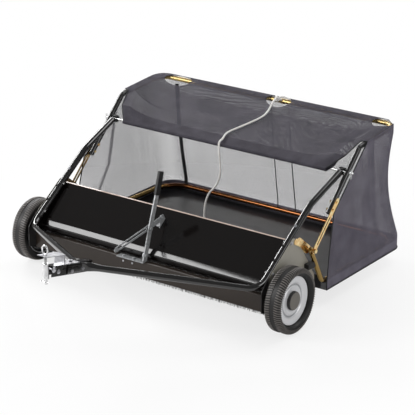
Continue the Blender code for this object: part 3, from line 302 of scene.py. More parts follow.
ROPE_RADIUS = 0.0045
STRAND_PITCH = 0.030
HEM_Y = 0.460
HEM_Z = 0.550
CLOTH_SLOPE = 0.22
CLOTH_TOP = 0.6655
ROPE_CLEARANCE = ROPE_RADIUS + 0.0032
ROPE_STEP = 0.004


def cloth_middle(y):
    """Height of the top cloth's middle: a slight slope, then an eased rise over the upper hoop."""
    slope = HEM_Z + CLOTH_SLOPE * (y - HEM_Y)
    return slope + (CLOTH_TOP - slope) * eased(y, 0.7645, 0.8430)


ON_CLOTH = ((0.036, 0.839), (0.036, 0.807), (0.038, 0.7645), (0.041, 0.706), (0.010, 0.616),
            (-0.021, 0.538), (-0.008, 0.480))
BELOW_HEM = ((-0.003, 0.4590, 0.5630), (0.000, 0.4440, 0.5530), (0.002, 0.4410, 0.5250),
             (0.003, 0.4440, 0.4910), (0.007, 0.4450, 0.4190), (-0.014, 0.4460, 0.3580),
             (-0.057, 0.4470, 0.3060), (-0.079, 0.4480, 0.2440), (-0.084, 0.4500, 0.1700),
             (-0.075, 0.4520, 0.1100), (-0.052, 0.4546, 0.0790), (-0.026, 0.4546, 0.0740),
             (-0.0020, 0.4546, 0.0810))
COIL_CENTRE = (0.030, 0.530)
COIL_OUTER = 0.074
COIL_PITCH = 0.0105
COIL_TURNS = 1.5
COIL_CLIMB = 0.5
COIL_FLOOR = 0.0716
COIL_LAYER = 0.0108


def coil_places(steps_per_turn=36):
    """Two layers: the radius shrinks at a steady rate and grows again, with a climb between."""
    total = 2 * COIL_TURNS + COIL_CLIMB
    turn = np.linspace(0, total, int(total * steps_per_turn) + 1)
    reverse = COIL_TURNS + COIL_CLIMB / 2
    inward = np.minimum(turn, reverse) - np.maximum(0, turn - reverse)
    radius = COIL_OUTER - COIL_PITCH * inward
    angle = -pi / 2 - 2 * pi * (turn - total)
    rise = np.clip((turn - COIL_TURNS) / COIL_CLIMB, 0, 1)
    height = COIL_FLOOR + COIL_LAYER * (0.5 - 0.5 * np.cos(pi * rise))
    return np.stack([COIL_CENTRE[0] + radius * np.cos(angle), COIL_CENTRE[1] + radius * np.sin(angle),
                     height], axis=1)


def twisted_ring(route, radius):
    """Three strands: the radius is greatest at three places that turn as the rope runs on."""
    angle = np.arange(24) * 2 * pi / 24
    turn = angle[None, :] + 2 * pi * lengths(route)[:, None] / STRAND_PITCH
    reach = radius * (0.80 + 0.20 * np.abs(np.cos(1.5 * turn)))
    return np.stack([reach * np.cos(angle), reach * np.sin(angle)], axis=-1)


def rope_finish():
    finish = Finish("rope_fibre", (0.62, 0.55, 0.43), 0.85)
    fibre = finish.noise(900.0, 4.0)
    finish.colour(fibre.step(0.3, 0.7), (0.76, 0.73, 0.69), (0.96, 0.95, 0.93))
    finish.bump(fibre, 0.0006, 0.6)
    return finish


rope_paint = rope_finish()
lying = [(x, y, cloth_middle(y) + ROPE_CLEARANCE) for x, y in ON_CLOTH]
hanging = smooth_curve(np.array(lying + list(BELOW_HEM)), 14)
rope_route = evenly(np.vstack([hanging, coil_places()[::-1]]), ROPE_STEP)
rope_run = lengths(rope_route)
downwards = rope_run[np.argmin(np.abs(rope_route[:, 2] - 0.42) + (rope_route[:, 1] > 0.46))]
entry = rope_run[np.argmin(np.linalg.norm(rope_route - BELOW_HEM[-2], axis=1))]
turned_aside = eased(rope_run, downwards - 0.10, downwards + 0.10)[:, None]
turned_up = eased(rope_run, entry, entry + 0.03)[:, None]
rope_side = np.array([1, 0, 0]) * (1 - turned_aside) + np.array([0, 1, 0]) * turned_aside
rope_side = rope_side * (1 - turned_up) + np.array([0, 0, 1]) * turned_up
rope = make_piece("rope", swept(rope_route, twisted_ring(rope_route, ROPE_RADIUS), rope_side),
                  rope_paint, "hopper", 60, ("pull_rope", "rope_coil"))


# Knot
# Two turns of the rope's end at the hoop, a tied part beside them and a tail along the hoop. A known
# fault is kept here: the turns and the tied part cut into the hoop, as knot_shell says.
KNOT_X = 0.036
HOOP_Y = 0.862
HOOP_Z = 0.652
HOOP_RADIUS = 0.011
TURN_RISE = 0.0015
PHASE_Y = -0.7
PHASE_Z = 0.7
TIE_SIZE = 0.0040
TIE_PLACE = (KNOT_X, HOOP_Y - 0.0190, HOOP_Z + 0.0125)


def knot_shell():
    """Two turns, a three-crossing knot, and a tail.

    The turns run along X as t grows, with a cosine of t in Y and a sine of t in Z. Their phases
    differ, so they trace a flattened oval that passes through the hoop, not a circle round it; with
    PHASE_Y for both they would clear it. The knot is a circle of radius 2 + cos 3t that runs round
    twice and rises and falls as sin 3t, and it cuts 0.6 mm into the hoop.
    """
    t = np.linspace(0, 4 * pi, 120)
    around = HOOP_RADIUS + ROPE_RADIUS + 0.0006
    turns = np.stack([KNOT_X - 0.004 + TURN_RISE * t, HOOP_Y - around * np.cos(t + PHASE_Y),
                      HOOP_Z + around * np.sin(t + PHASE_Z)], axis=1)
    t = np.linspace(0, 2 * pi, 144, endpoint=False)
    reach = 2 + np.cos(3 * t)
    tie = np.stack([reach * np.cos(2 * t), reach * np.sin(2 * t), 1.4 * np.sin(3 * t)], axis=1)
    tie = (tie * TIE_SIZE)[:, [0, 2, 1]] + np.array(TIE_PLACE)
    tail = smooth_curve([(0.004, -0.0180, 0.0140), (0.016, -0.0130, 0.0225), (0.030, -0.0060, 0.0215),
                         (0.044, 0.0000, 0.0165), (0.056, 0.0040, 0.0160)], 8)
    tail = tail + np.array([KNOT_X, HOOP_Y, HOOP_Z])
    centre = tie.mean(axis=0)
    return together(swept(turns, twisted_ring(turns, ROPE_RADIUS), (1, 0, 0)),
                    swept(tie, circle(ROPE_RADIUS * 0.84, 14), centre - tie + 0.0001, closed=True),
                    swept(tail, twisted_ring(tail, ROPE_RADIUS), (0, 0, 1)))


knot = make_piece("rope_tie", knot_shell(), rope_paint, "hopper", 60, ("rope_knot",))


# Tyres
# Semi-pneumatic rubber. Close slanted ribs cover the inner half of the tread and the outer
# shoulder, with a plain band between them; the side wall is smooth down to the bead, well inside.
TYRE_INNER_X = 0.637
RIBS = 84
RIB_HEIGHT = 0.0030
RIB_SLANT = 70
RIB_STEPS = np.array([0.00, 0.08, 0.27, 0.46, 0.54, 0.77])
RIB_TOPS = np.array([0.0, 1.0, 1.0, 1.0, 0.0, 0.0])


def tyre_shell(side):
    """The wall's section turned about the axle, on a grid sheared so that its columns follow the ribs.

    Each rib takes six columns. It turns by RIB_SLANT degrees for each metre along the section, and
    between ribs the surface sinks along the section's own normal. The second part of the UV holds
    how far up a rib each point is.
    """
    outer = np.array([(0.0020, 0.1036), (0.0004, 0.1120), (0.0000, 0.1200), (0.0010, 0.1270),
                      (0.0038, 0.1338), (0.0082, 0.1378), (0.0135, 0.1394), (0.0200, 0.1398),
                      (0.0270, 0.1400), (0.0340, 0.1400), (0.0410, 0.1400), (0.0470, 0.1399),
                      (0.0530, 0.1398), (0.0590, 0.1396), (0.0655, 0.1394), (0.0708, 0.1378),
                      (0.0752, 0.1338), (0.0780, 0.1280), (0.0790, 0.1230), (0.0785, 0.1190),
                      (0.0770, 0.1160), (0.0720, 0.1100), (0.0635, 0.1050), (0.0590, 0.1036)])
    section = smooth_curve(outer, 3)
    tangent = unit(np.gradient(section, axis=0))
    along = lengths(section)
    x, r = section[:, 0], section[:, 1]
    inner_row = eased(r, 0.1270, 0.1330) * (1 - eased(x, 0.0300, 0.0325))
    outer_row = eased(x, 0.0500, 0.0525) * eased(r, 0.1170, 0.1195)
    row = np.maximum(inner_row, outer_row)
    turn = RIB_SLANT * np.abs(along - along[len(along) // 2])
    phase = (np.arange(RIBS)[:, None] + RIB_STEPS[None]).ravel()[:, None]
    angle = 2 * pi * phase / RIBS + np.radians(turn)[None]
    top = np.tile(RIB_TOPS, RIBS)[:, None]
    drop = RIB_HEIGHT * (1 - top * row[None])
    radius = r[None] - drop * tangent[:, 0][None]
    x = x[None] + drop * tangent[:, 1][None]
    points = np.stack([side * (TYRE_INNER_X + x), radius * np.cos(angle),
                       AXLE_Z + radius * np.sin(angle)], axis=-1)
    uv = np.stack([angle / (2 * pi), np.broadcast_to(top * row[None], angle.shape)], axis=-1)
    return (points.reshape(-1, 3), grid_faces(len(phase), len(section), True, True)), uv.reshape(-1, 2)


def tyre_finish():
    finish = Finish("tyre_rubber", (0.030, 0.027, 0.025), 0.5)
    rib = finish.along(1, finish.node("TexCoord", output=2)).step(0.3, 0.9)
    dust_and_sheen = finish.noise(60.0, 5.0)
    # Rib tops are coloured light and the gaps between ribs near black: a painted highlight on the tops
    # and painted shade in the gaps, with a dust noise through both.
    finish.colour(rib * (dust_and_sheen * 0.8 + 0.45), (0.008, 0.007, 0.007), (0.170, 0.155, 0.145))
    finish.roughness(dust_and_sheen * 0.25 + 0.36)
    finish.bump(finish.noise(1400.0), 0.0003, 0.3)
    return finish


tyre_paint = tyre_finish()
for side, name in SIDE_NAMES.items():
    shell, rib_places = tyre_shell(side)
    make_piece(f"tread_{name}", shell, tyre_paint, f"wheel_{name}", 40,
               (f"tyre_{name}",), uv=rib_places)


# Wheel rims
# Pressed steel dish in silver paint: a rolled lip, a round swage and a flat hub face.
SWAGE_RADIUS = 0.0684


def rounded_profile(points, steps=5):
    return smooth_curve(np.array(points, float), steps)


def turned(profile, side, closed=True, steps=96):
    """(x, radius) pairs turned about the wheel axle; x is measured outwards from the middle."""
    profile = np.asarray(profile, float)
    angle = np.arange(steps) * 2 * pi / steps
    x = side * profile[:, 0][None] * np.ones((steps, 1))
    y = profile[:, 1][None] * np.cos(angle)[:, None]
    z = AXLE_Z + profile[:, 1][None] * np.sin(angle)[:, None]
    points = np.stack([x, y, z], axis=-1).reshape(-1, 3)
    return points, grid_faces(steps, len(profile), True, closed)


def rim_profile():
    """The dish's outer face from lip to hub, then its back 2 to 4 mm behind, out to the barrel."""
    face = rounded_profile([(0.6900, 0.1033), (0.6936, 0.1031), (0.6950, 0.1016), (0.6946, 0.0990),
                            (0.6932, 0.0960), (0.6924, 0.0900), (0.6914, 0.0830), (0.6902, 0.0770),
                            (0.6876, 0.0735), (0.6848, 0.0700), (0.6850, 0.0660), (0.6882, 0.0628),
                            (0.6890, 0.0600), (0.6880, 0.0570), (0.6870, 0.0520), (0.6870, 0.0430),
                            (0.6872, 0.0300), (0.6872, 0.0081)])
    hub = np.array([(0.6400, 0.0081), (0.6400, 0.0180), (0.6790, 0.0180)])
    back = np.array([(0.6850, 0.0600), (0.6830, 0.0700), (0.6880, 0.0860), (0.6760, 0.1012),
                     (0.6405, 0.1012), (0.6405, 0.1030)])
    return np.vstack([face, hub, back])


def rim_finish():
    finish = Finish("silver_rim", (0.72, 0.72, 0.74), 0.34, 0.30)
    finish.put(finish.shader, {"Coat Weight": 0.3})
    radius = finish.math_length(finish.along(1) - AXLE_Y, finish.along(2) - AXLE_Z)
    # Darker in the swage's groove: painted shade in the recess, with a faint random cloud.
    swage = 1 - (radius - SWAGE_RADIUS).size().step(0.0018, 0.0045)
    finish.colour(swage * 0.8 + finish.noise(30.0) * 0.15, (0.88, 0.88, 0.90), (0.34, 0.35, 0.37))
    finish.bump(finish.noise(700.0), 0.0002, 0.25)
    return finish


rim_paint = rim_finish()
for side, name in SIDE_NAMES.items():
    make_piece(f"rim_{name}", turned(rim_profile(), side), rim_paint, f"wheel_{name}", 40,
               (f"wheel_rim_{name}",))


# Hub caps
# Moulded caps pressed over the axle's end, matt grey with a raised edge.
def hub_profile():
    face = rounded_profile([(0.7034, 0.0), (0.7034, 0.0150), (0.7030, 0.0290), (0.7024, 0.0335),
                            (0.7024, 0.0358), (0.7008, 0.0382), (0.6970, 0.0398), (0.6889, 0.0402)])
    return np.vstack([face, [(0.6889, 0.0368), (0.6970, 0.0320), (0.6995, 0.0)]])


def hub_finish():
    finish = Finish("hub_plastic", (0.16, 0.15, 0.13), 0.45)
    raised = finish.along(0).size().step(0.7005, 0.7022)
    cloud = finish.noise(40.0) * 0.3 + 0.85
    finish.colour(raised * cloud, (0.016, 0.015, 0.015), (0.160, 0.146, 0.128))
    finish.bump(finish.noise(1600.0), 0.0002, 0.3)
    return finish


hub_paint = hub_finish()
for side, name in SIDE_NAMES.items():
    make_piece(f"cap_{name}", turned(hub_profile(), side, closed=False), hub_paint, f"wheel_{name}",
               40, (f"hub_cap_{name}",))


# Frame paint
# Gloss black powder coat on every tube and on the hood, with a faint orange peel.
def black_finish(name, colour, roughness, peel, gloss):
    finish = Finish(name, colour, roughness, **{"Specular IOR Level": gloss})
    finish.roughness(finish.noise(25.0, 4.0) * 0.08 + (roughness - 0.04))
    finish.bump(finish.noise(420.0, 2.0), 0.0004, peel)
    return finish


black_paint = black_finish("black_paint", (0.0045, 0.0038, 0.0036), 0.08, 0.03, 0.80)
black_paint.put(black_paint.shader, {"Coat Weight": 0.4, "Coat Roughness": 0.03})
HOOD_BLACK = (0.0040, 0.0030, 0.0028)
hood_paint = black_finish("hood_paint", HOOD_BLACK, 0.11, 0.05, 0.46)
# The flat top of the rolled edge is coloured light pinkish grey: a painted highlight along the hood's
# top fold.
top_edge_glint = hood_paint.along(2).step(0.3427, 0.3433)
hood_paint.colour(top_edge_glint, HOOD_BLACK, (0.66, 0.52, 0.45))
brown_paint = black_finish("brown_black_paint", (0.0320, 0.0240, 0.0190), 0.22, 0.15, 0.30)


# Plates, gears and bearings
# The side plates are pressed from 3 mm sheet and are black inside; their satin outer faces are
# coloured grey as a painted reflection of the studio, and black towards the front as painted shade.
def plate_finish():
    finish = Finish("grey_paint", (0.30, 0.29, 0.25), 0.42)
    # Grey on the outer faces only: painted reflection. Black towards the front: painted shade.
    outside = finish.along(0).size().step(0.6199, 0.6201)
    outer = outside * finish.along(1).step(AXLE_Y - 0.080, AXLE_Y - 0.050)
    cloud = finish.noise(18.0, 4.0) * 0.25 + 0.875
    finish.colour(outer * cloud, (0.010, 0.009, 0.009), (0.36, 0.34, 0.29))
    finish.roughness(finish.noise(50.0) * 0.2 + 0.32)
    return finish


METAL_GRAIN = 240.0


def worn_metal(name, dark, light, roughness):
    """Plated or bare steel: cloudy brightness, and fine grain in the gloss."""
    finish = Finish(name, light, roughness, 1.0)
    cloud = finish.noise(55.0, 5.0)
    finish.colour(cloud.step(0.32, 0.68), dark, light)
    finish.roughness(finish.noise(METAL_GRAIN, 3.0) * 0.25 + (roughness - 0.12))
    finish.bump(finish.noise(METAL_GRAIN * 3), 0.0002, 0.25)
    return finish


zinc = worn_metal("zinc", (0.38, 0.38, 0.40), (0.62, 0.62, 0.65), 0.34)
steel = worn_metal("bright_steel", (0.62, 0.62, 0.63), (0.88, 0.88, 0.88), 0.22)
dark_steel = worn_metal("dark_steel", (0.08, 0.08, 0.085), (0.18, 0.18, 0.18), 0.42)
yellow_zinc = worn_metal("yellow_zinc", (0.80, 0.46, 0.17), (1.00, 0.84, 0.46), 0.22)
moulded_black = Finish("black_plastic", (0.012, 0.012, 0.012), 0.36)
moulded_black.bump(moulded_black.noise(1500.0), 0.0002, 0.3)
soft_rubber = Finish("soft_rubber", (0.014, 0.013, 0.013), 0.62)
soft_rubber.bump(soft_rubber.noise(900.0), 0.0003, 0.4)
plate_paint = plate_finish()
for name in SIDE_NAMES.values():
    repaint(plate_paint, "grey_paint" if name == "right" else "black_paint", f"side_plate_{name}")
    repaint(zinc, "zinc", f"stub_axle_{name}")
    repaint(moulded_black, "black_plastic", f"brush_bearing_{name}", f"ring_gear_{name}")
    repaint(moulded_black, "black_plastic", f"rod_saddle_{name}")
    repaint(dark_steel, "dark_steel", f"pinion_{name}")
    repaint(yellow_zinc, "yellow_zinc", f"pivot_lug_{name}")
    repaint(soft_rubber, "soft_rubber", f"rest_bumper_{name}")
repaint(dark_steel, "dark_steel", "brush_shaft")


# Hood
# One bent sheet over the brush: rolled top edge, flat slope, tight front curve and a tucked lip.
def rounded(corners, radii, step=radians(7)):
    """A route whose inner corners are arcs; loops over the few corners only."""
    corners = [np.array(corner, float) for corner in corners]
    route = [corners[0][None]]
    for before, corner, after, radius in zip(corners, corners[1:], corners[2:], radii):
        into = unit(before - corner)
        out = unit(after - corner)
        half = np.arccos(np.clip(into @ out, -1, 1)) / 2
        middle = corner + unit(into + out) * radius / sin(half)
        start = unit(corner + into * radius * cos(half) / sin(half) - middle)
        end = unit(corner + out * radius * cos(half) / sin(half) - middle)
        sweep = pi - 2 * half
        t = np.linspace(0, 1, max(3, int(sweep / step) + 2))[:, None]
        arc = (np.sin((1 - t) * sweep) * start + np.sin(t * sweep) * end) / sin(sweep)
        route.append(middle + radius * arc)
    route.append(corners[-1][None])
    return np.vstack(route)


def bent_sheet(path, thickness, x_low, x_high, columns=2):
    """A path of (y, z) pairs given a thickness on its inner side, and run along X."""
    runs = unit(np.diff(path, axis=0))
    tangent = unit(np.vstack([runs[:1], runs[:-1] + runs[1:], runs[-1:]]))
    inner = path - thickness * np.stack([-tangent[:, 1], tangent[:, 0]], axis=1)
    section = np.vstack([path, inner[::-1]])
    x = np.linspace(x_low, x_high, columns)
    points = np.concatenate([np.broadcast_to(x[:, None, None], (columns, len(section), 1)),
                             np.broadcast_to(section, (columns,) + section.shape)], axis=2)
    faces = grid_faces(columns, len(section), wrap_columns=True)
    count = len(path)
    for first in (0, (columns - 1) * len(section)):
        last = first + len(section) - 1
        faces += [[first + i, first + i + 1, last - i - 1, last - i] for i in range(count - 1)]
    return points.reshape(-1, 3), faces


HOOD_HALF_WIDTH = 0.6180
HOOD_PATH = ((0.1235, 0.3300), (0.1235, 0.3435), (0.1100, 0.3435), (-0.0480, 0.2205),
             (-0.0640, 0.1990), (-0.0580, 0.1740))
hood_route = rounded(HOOD_PATH, (0.0060, 0.0045, 0.0300, 0.0100), radians(4))
hood_shell = bent_sheet(hood_route[::-1], 0.0015, -HOOD_HALF_WIDTH, HOOD_HALF_WIDTH, 9)
make_piece("hood_sheet", hood_shell, hood_paint, "chassis", 25, ("hood",))


# Front panel
# Folded channel under the hood, in brown-black paint, with round bends at both flanges.
PANEL_PATH = ((-0.066, 0.0950), (-0.085, 0.0950), (-0.085, 0.1670), (-0.066, 0.1670))
panel_route = rounded(PANEL_PATH, (0.0030, 0.0030), radians(10))
make_piece("panel_sheet", bent_sheet(panel_route, -0.0020, -0.6120, 0.6150, 9), brown_paint, "chassis",
           25, ("front_panel",))


# Drawbar
# Each side is one bent tube, flattened where it bolts to the tongue, with two bolts through the
# plate and three more that hold the hood.
TUBE_RADIUS = 0.014
TUBE_X = 0.604
LOWER_BEND = (TUBE_X, -0.114, 0.206)
UPPER_BEND = (TUBE_X, 0.254, 0.462)
TUBE_TOP = (0.6115, 0.4615, 0.5413)
TONGUE_TILT = radians(12.5)
TONGUE_ORIGIN = (-0.600, 0.3377)
TAB_X = 0.0203
PLATE_BOLTS = (-0.045, 0.086)
HOOD_BOLTS = (0.000, 0.064, 0.150)
FLAT_RUN = 0.105
ROUND_RUN = 0.165
TAB_HALF_THICKNESS = 0.0026
TAB_HALF_HEIGHT = 0.0190
HEAD_SIDES = 24


def tongue_point(along, up):
    """A point of the tilted tongue's own frame as (y, z)."""
    return (TONGUE_ORIGIN[0] + along * cos(TONGUE_TILT) + up * sin(TONGUE_TILT),
            TONGUE_ORIGIN[1] - along * sin(TONGUE_TILT) + up * cos(TONGUE_TILT))


def bolt_head(centre, axis, across, height):
    """Washer, six-sided head and a domed top, turned about any axis."""
    axis = unit(np.array(axis, float))
    side = unit(np.cross(axis, (0.3, 0.5, 0.8)))
    up = np.cross(axis, side)
    angle = np.arange(HEAD_SIDES) * 2 * pi / HEAD_SIDES
    corner = across / 2 / np.cos((angle + pi / 6) % (pi / 3) - pi / 6)
    washer = np.full(HEAD_SIDES, across * 0.72)
    dome = np.full(HEAD_SIDES, across * 0.46)
    rings = ((washer, 0.0), (washer, 0.0012), (corner, 0.0012), (corner, height * 0.8),
             (dome, height), (dome * 0, height + 0.0004))
    points = [np.array(centre) + axis * lift
              + reach[:, None] * (np.cos(angle)[:, None] * side + np.sin(angle)[:, None] * up)
              for reach, lift in rings]
    faces = grid_faces(len(rings), HEAD_SIDES, wrap_columns=True)
    faces.append(list(range(HEAD_SIDES)))
    return np.vstack(points), faces


def tube_height(y):
    slope = (UPPER_BEND[2] - LOWER_BEND[2]) / (UPPER_BEND[1] - LOWER_BEND[1])
    return LOWER_BEND[2] + slope * (y - LOWER_BEND[1])


def drawbar_shell(side):
    """A circle that flattens into a tab near the front end, carried along the bent route."""
    corners = [(TAB_X, *tongue_point(-0.006, -0.023)), (TAB_X, *tongue_point(0.100, -0.020)),
               LOWER_BEND, UPPER_BEND, TUBE_TOP]
    route = evenly(rounded(corners, (0.060, 0.080, 0.140)), 0.006) * np.array([side, 1, 1])
    share = eased(lengths(route), FLAT_RUN, ROUND_RUN)[:, None]
    ring = circle(1.0, 28)
    thin = TAB_HALF_THICKNESS + (TUBE_RADIUS - TAB_HALF_THICKNESS) * share
    tall = TAB_HALF_HEIGHT + (TUBE_RADIUS - TAB_HALF_HEIGHT) * share
    section = np.stack([ring[None, :, 0] * thin, ring[None, :, 1] * tall], axis=-1)
    return swept(route, section, (1, 0.0, 0))


def drawbar_bolts(side):
    """Zinc heads: the hood's last bolt and the plate bolts' outer ends. Black ones: all the others."""
    across = unit(np.array([0, LOWER_BEND[2] - UPPER_BEND[2], UPPER_BEND[1] - LOWER_BEND[1]]))
    black = []
    bright = []
    for y in HOOD_BOLTS:
        foot = np.array([side * TUBE_X, y, tube_height(y)]) + across * (TUBE_RADIUS - 0.0012)
        heads = bright if y == HOOD_BOLTS[-1] else black
        heads.append(bolt_head(foot, across, 0.0100, 0.0055))
    for y in PLATE_BOLTS:
        inner = (side * (TUBE_X - TUBE_RADIUS + 0.0010), y, tube_height(y))
        black.append(bolt_head(inner, (-side, 0, 0), 0.0115, 0.0060))
        outer = (side * 0.6217, y, tube_height(y))
        bright.append(bolt_head(outer, (side, 0, 0), 0.0115, 0.0050))
    return together(*bright), together(*black)


for side, name in SIDE_NAMES.items():
    make_piece(f"drawbar_{name}", drawbar_shell(side), black_paint, "chassis", 35,
               (f"drawbar_tube_{name}",))
    zinc_heads, black_heads = drawbar_bolts(side)
    make_piece(f"drawbar_bolts_{name}", zinc_heads, zinc, "chassis", 30)
    make_piece(f"hood_bolts_{name}", black_heads, black_paint, "chassis", 30)


# Tongue and hitch
# Black channel with zinc bolts, a zinc Z-bracket above it, and the pin in its spacer sleeve.
repaint(black_paint, "black_paint", "tongue")
repaint(zinc, "zinc", "hitch_bracket", "hitch_bolt_front", "hitch_bolt_rear", "tongue_bolt_front",
        "tongue_bolt_rear")
PIN_Y = -0.719
PIN_RADIUS = 0.006
CLIP_WIRE = 0.0012


def upright_turned(profile, centre, steps=48, closed=True):
    """(radius, z) pairs turned about an upright line through the centre."""
    profile = np.asarray(profile, float)
    angle = np.arange(steps) * 2 * pi / steps
    x = centre[0] + profile[:, 0][None] * np.cos(angle)[:, None]
    y = centre[1] + profile[:, 0][None] * np.sin(angle)[:, None]
    z = profile[:, 1][None] * np.ones((steps, 1))
    return np.stack([x, y, z], axis=-1).reshape(-1, 3), grid_faces(steps, len(profile), True, closed)


sleeve_profile = [(0.0066, 0.3105), (0.0071, 0.3100), (0.0122, 0.3100), (0.0130, 0.3108),
                  (0.0130, 0.3742), (0.0122, 0.3750), (0.0071, 0.3750), (0.0066, 0.3745)]
make_piece("spacer_sleeve", upright_turned(sleeve_profile, (0, PIN_Y)), steel, "chassis",
           30, ("hitch_sleeve",))


def pin_shell():
    """The pin with a rounded foot, and its handle: an oval ring carried round a closed route."""
    profile = [(0, 0.2840), (0.0035, 0.2842), (0.0054, 0.2860), (PIN_RADIUS, 0.2885),
               (PIN_RADIUS, 0.4120), (0.0040, 0.4150), (0, 0.4155)]
    pin = upright_turned(profile, (0, PIN_Y), closed=False)
    t = np.arange(48) * 2 * pi / 48
    ring = np.stack([0.014 * np.cos(t), PIN_Y + 0 * t, 0.4325 + 0.018 * np.sin(t)], axis=1)
    return together(pin, swept(ring, circle(0.0034, 14), (0, 1, 0), closed=True))


def hairpin_route(along, across):
    """R-clip wire: a straight leg, a half-round bend, and a leg whose hump hugs the pin."""
    t = np.linspace(-pi / 2, -3 * pi / 2, 14)
    bend = np.stack([-0.022 + 0.0040 * np.cos(t), 0.0040 + 0.0040 * np.sin(t)], axis=1)
    hug = smooth_curve([(-0.020, 0.0080), (-0.014, 0.0068), (-0.008, 0.0064), (-0.004, 0.0080),
                        (0.0, 0.0086), (0.004, 0.0080), (0.009, 0.0060), (0.015, 0.0078)], 5)
    flat = np.vstack([[(0.018, 0.0)], bend, hug])
    return flat[:, :1] * np.array(along) + flat[:, 1:] * np.array(across)


make_piece("pin_and_ring", pin_shell(), steel, "hitch_pin_set", 35, ("hitch_pin",))
clip = hairpin_route((1, 0, 0), (0, -1, 0)) + np.array([0, PIN_Y, 0.2970])
make_piece("pin_clip", swept(clip, circle(CLIP_WIRE, 10), (0, 0, 1)), steel, "hitch_pin_set",
           40, ("hitch_hairpin",))


# Height lever
# Galvanised flat bar and slotted strap with a crystal pattern in the zinc, and a black moulded grip.
# Two zinc bolt heads show on the front panel below it.
def galvanised_finish():
    finish = Finish("galvanised", (0.40, 0.41, 0.42), 0.42, 0.45)
    values = {"Vector": finish.place(), "Scale": 170.0}
    crystal = finish.node("TexVoronoi", {"feature": "F1"}, values, 1)
    shade = finish.node("SeparateColor", None, {0: crystal})
    finish.colour(shade, (0.28, 0.29, 0.30), (0.48, 0.49, 0.50))
    finish.roughness(shade * 0.16 + 0.34)
    return finish


galvanised = galvanised_finish()
repaint(galvanised, "zinc", "lever_bar", "adjusting_strap", "lever_foot", "strap_angle",
        "lever_clamp_bolt")
repaint(moulded_black, "black_plastic", "lever_grip")
foot_bolts = [bolt_head((x, -0.0848, 0.1478), (0, -1, 0), 0.0085, 0.0045) for x in (-0.119, -0.070)]
make_piece("foot_bolts", together(*foot_bolts), zinc, "chassis")


# Brush
# Four rows of stiff nylon strands in a moulded backing on the core, splayed a little at the tips.
BRUSH_Y = (0.078 ** 2 - 0.005 ** 2) ** 0.5
BRUSH_Z = 0.135
BRUSH_REACH = 0.1285
BRUSH_HALF = 0.573
STRANDS = 760
STRAND_ROOT = 0.028
ROW_GAP = 0.0026
BACKING_OUT = 0.0255


def strip_shell(index, random):
    """Tapered four-sided strands: roots in three rows along the backing, tips thrown aside."""
    angle = radians(170) - index * pi / 2
    outward = np.array([0, cos(angle), sin(angle)])
    aside = np.array([0, -sin(angle), cos(angle)])
    along = np.array([1, 0, 0])
    middle = np.array([0, BRUSH_Y, BRUSH_Z])
    x = np.linspace(-BRUSH_HALF, BRUSH_HALF, STRANDS) + random.uniform(-0.0006, 0.0006, STRANDS)
    row = (np.arange(STRANDS) % 3 - 1) * ROW_GAP
    lean = random.normal(0, 0.0035, STRANDS)
    throw = random.normal(0, 0.0050, STRANDS) + row
    tip = BRUSH_REACH - np.abs(random.normal(0, 0.0010, STRANDS))
    shares = np.array([0.0, 0.5, 1.0])
    out = STRAND_ROOT + (tip[:, None] - STRAND_ROOT) * shares
    centres = (middle + (x[:, None] + lean[:, None] * shares ** 2)[..., None] * along
               + out[..., None] * outward
               + (row[:, None] + (throw - row)[:, None] * shares ** 2)[..., None] * aside)
    corner = np.stack([along + aside, along - aside, -along - aside, -along + aside])
    thick = np.array([0.00075, 0.00060, 0.00030])
    points = centres[:, :, None] + corner * thick[:, None, None]
    ring = 4 * np.arange(3)
    quads = [[ring[j] + k, ring[j] + (k + 1) % 4, ring[j + 1] + (k + 1) % 4, ring[j + 1] + k]
             for j in range(2) for k in range(4)]
    quads += [[8, 9, 10, 11], [3, 2, 1, 0]]
    faces = (np.array(quads)[None] + 12 * np.arange(STRANDS)[:, None, None]).reshape(-1, 4).tolist()
    half = BRUSH_HALF + 0.002
    ends = middle + outward * BACKING_OUT + along * np.array([[-half], [half]])
    backing = np.array([(0.0048, 0.0052), (0.0036, 0.0064), (-0.0036, 0.0064), (-0.0048, 0.0052),
                        (-0.0048, -0.0047), (0.0048, -0.0047)])
    return together((points.reshape(-1, 3), faces), swept(ends, backing[:, ::-1], outward))


def bristle_finish():
    finish = Finish("nylon_bristle", (0.030, 0.027, 0.025), 0.42)
    streak = finish.noise(700.0, 2.0, (1, 0.05, 0.05))
    finish.colour(streak.step(0.35, 0.70), (0.012, 0.011, 0.010), (0.085, 0.076, 0.070))
    return finish


bristle_paint = bristle_finish()
random = np.random.default_rng(7)
for index in range(4):
    make_piece(f"bristles_{index + 1}", strip_shell(index, random), bristle_paint, "brush",
               30, (f"bristle_strip_{index + 1}",))


# Hopper frame
# Black side tubes up from yellow zinc lift arms, and two yellow zinc hoops that hold the cloth open.
PIVOT = (0.210, 0.280)
ROD = (0.480, 0.5435)
ARM_ANGLE = np.arctan2(ROD[1] - PIVOT[1], ROD[0] - PIVOT[0])
SIDE_TUBE_X = 0.6395
LOWER_HOOP_X = 0.6365
LOWER_BEND_LEG = (0.302, 0.107)
HOOP_KNEE = 0.5025
HOOP_TILT = 0.0722
BAG_HALF = 0.6540
TOP_CORNER = 0.070
EYE_RADIUS = 0.0125
EYE_BORE = 0.0056
EYE_SIDES = (0.6330, 0.6400)


def arm_point(distance, offset=0.0):
    """A point along the hopper's side tube, measured from the dump pivot."""
    return (PIVOT[0] + distance * cos(ARM_ANGLE) - offset * sin(ARM_ANGLE),
            PIVOT[1] + distance * sin(ARM_ANGLE) + offset * cos(ARM_ANGLE))


def both_ways(half):
    """A route given from the right end to the middle, and mirrored back on the left."""
    return list(half) + [(-x, y, z) for x, y, z in reversed(half)]


def side_tube_shell(side):
    """A tube with slightly closed ends."""
    ends = [(side * SIDE_TUBE_X, *arm_point(d)) for d in (0.175, 0.1765, 0.4905, 0.492)]
    ring = circle(1.0, 28)
    reach = np.array([0.0108, 0.0120, 0.0120, 0.0108])
    return swept(ends, ring[None] * reach[:, None, None], (1, 0, 0))


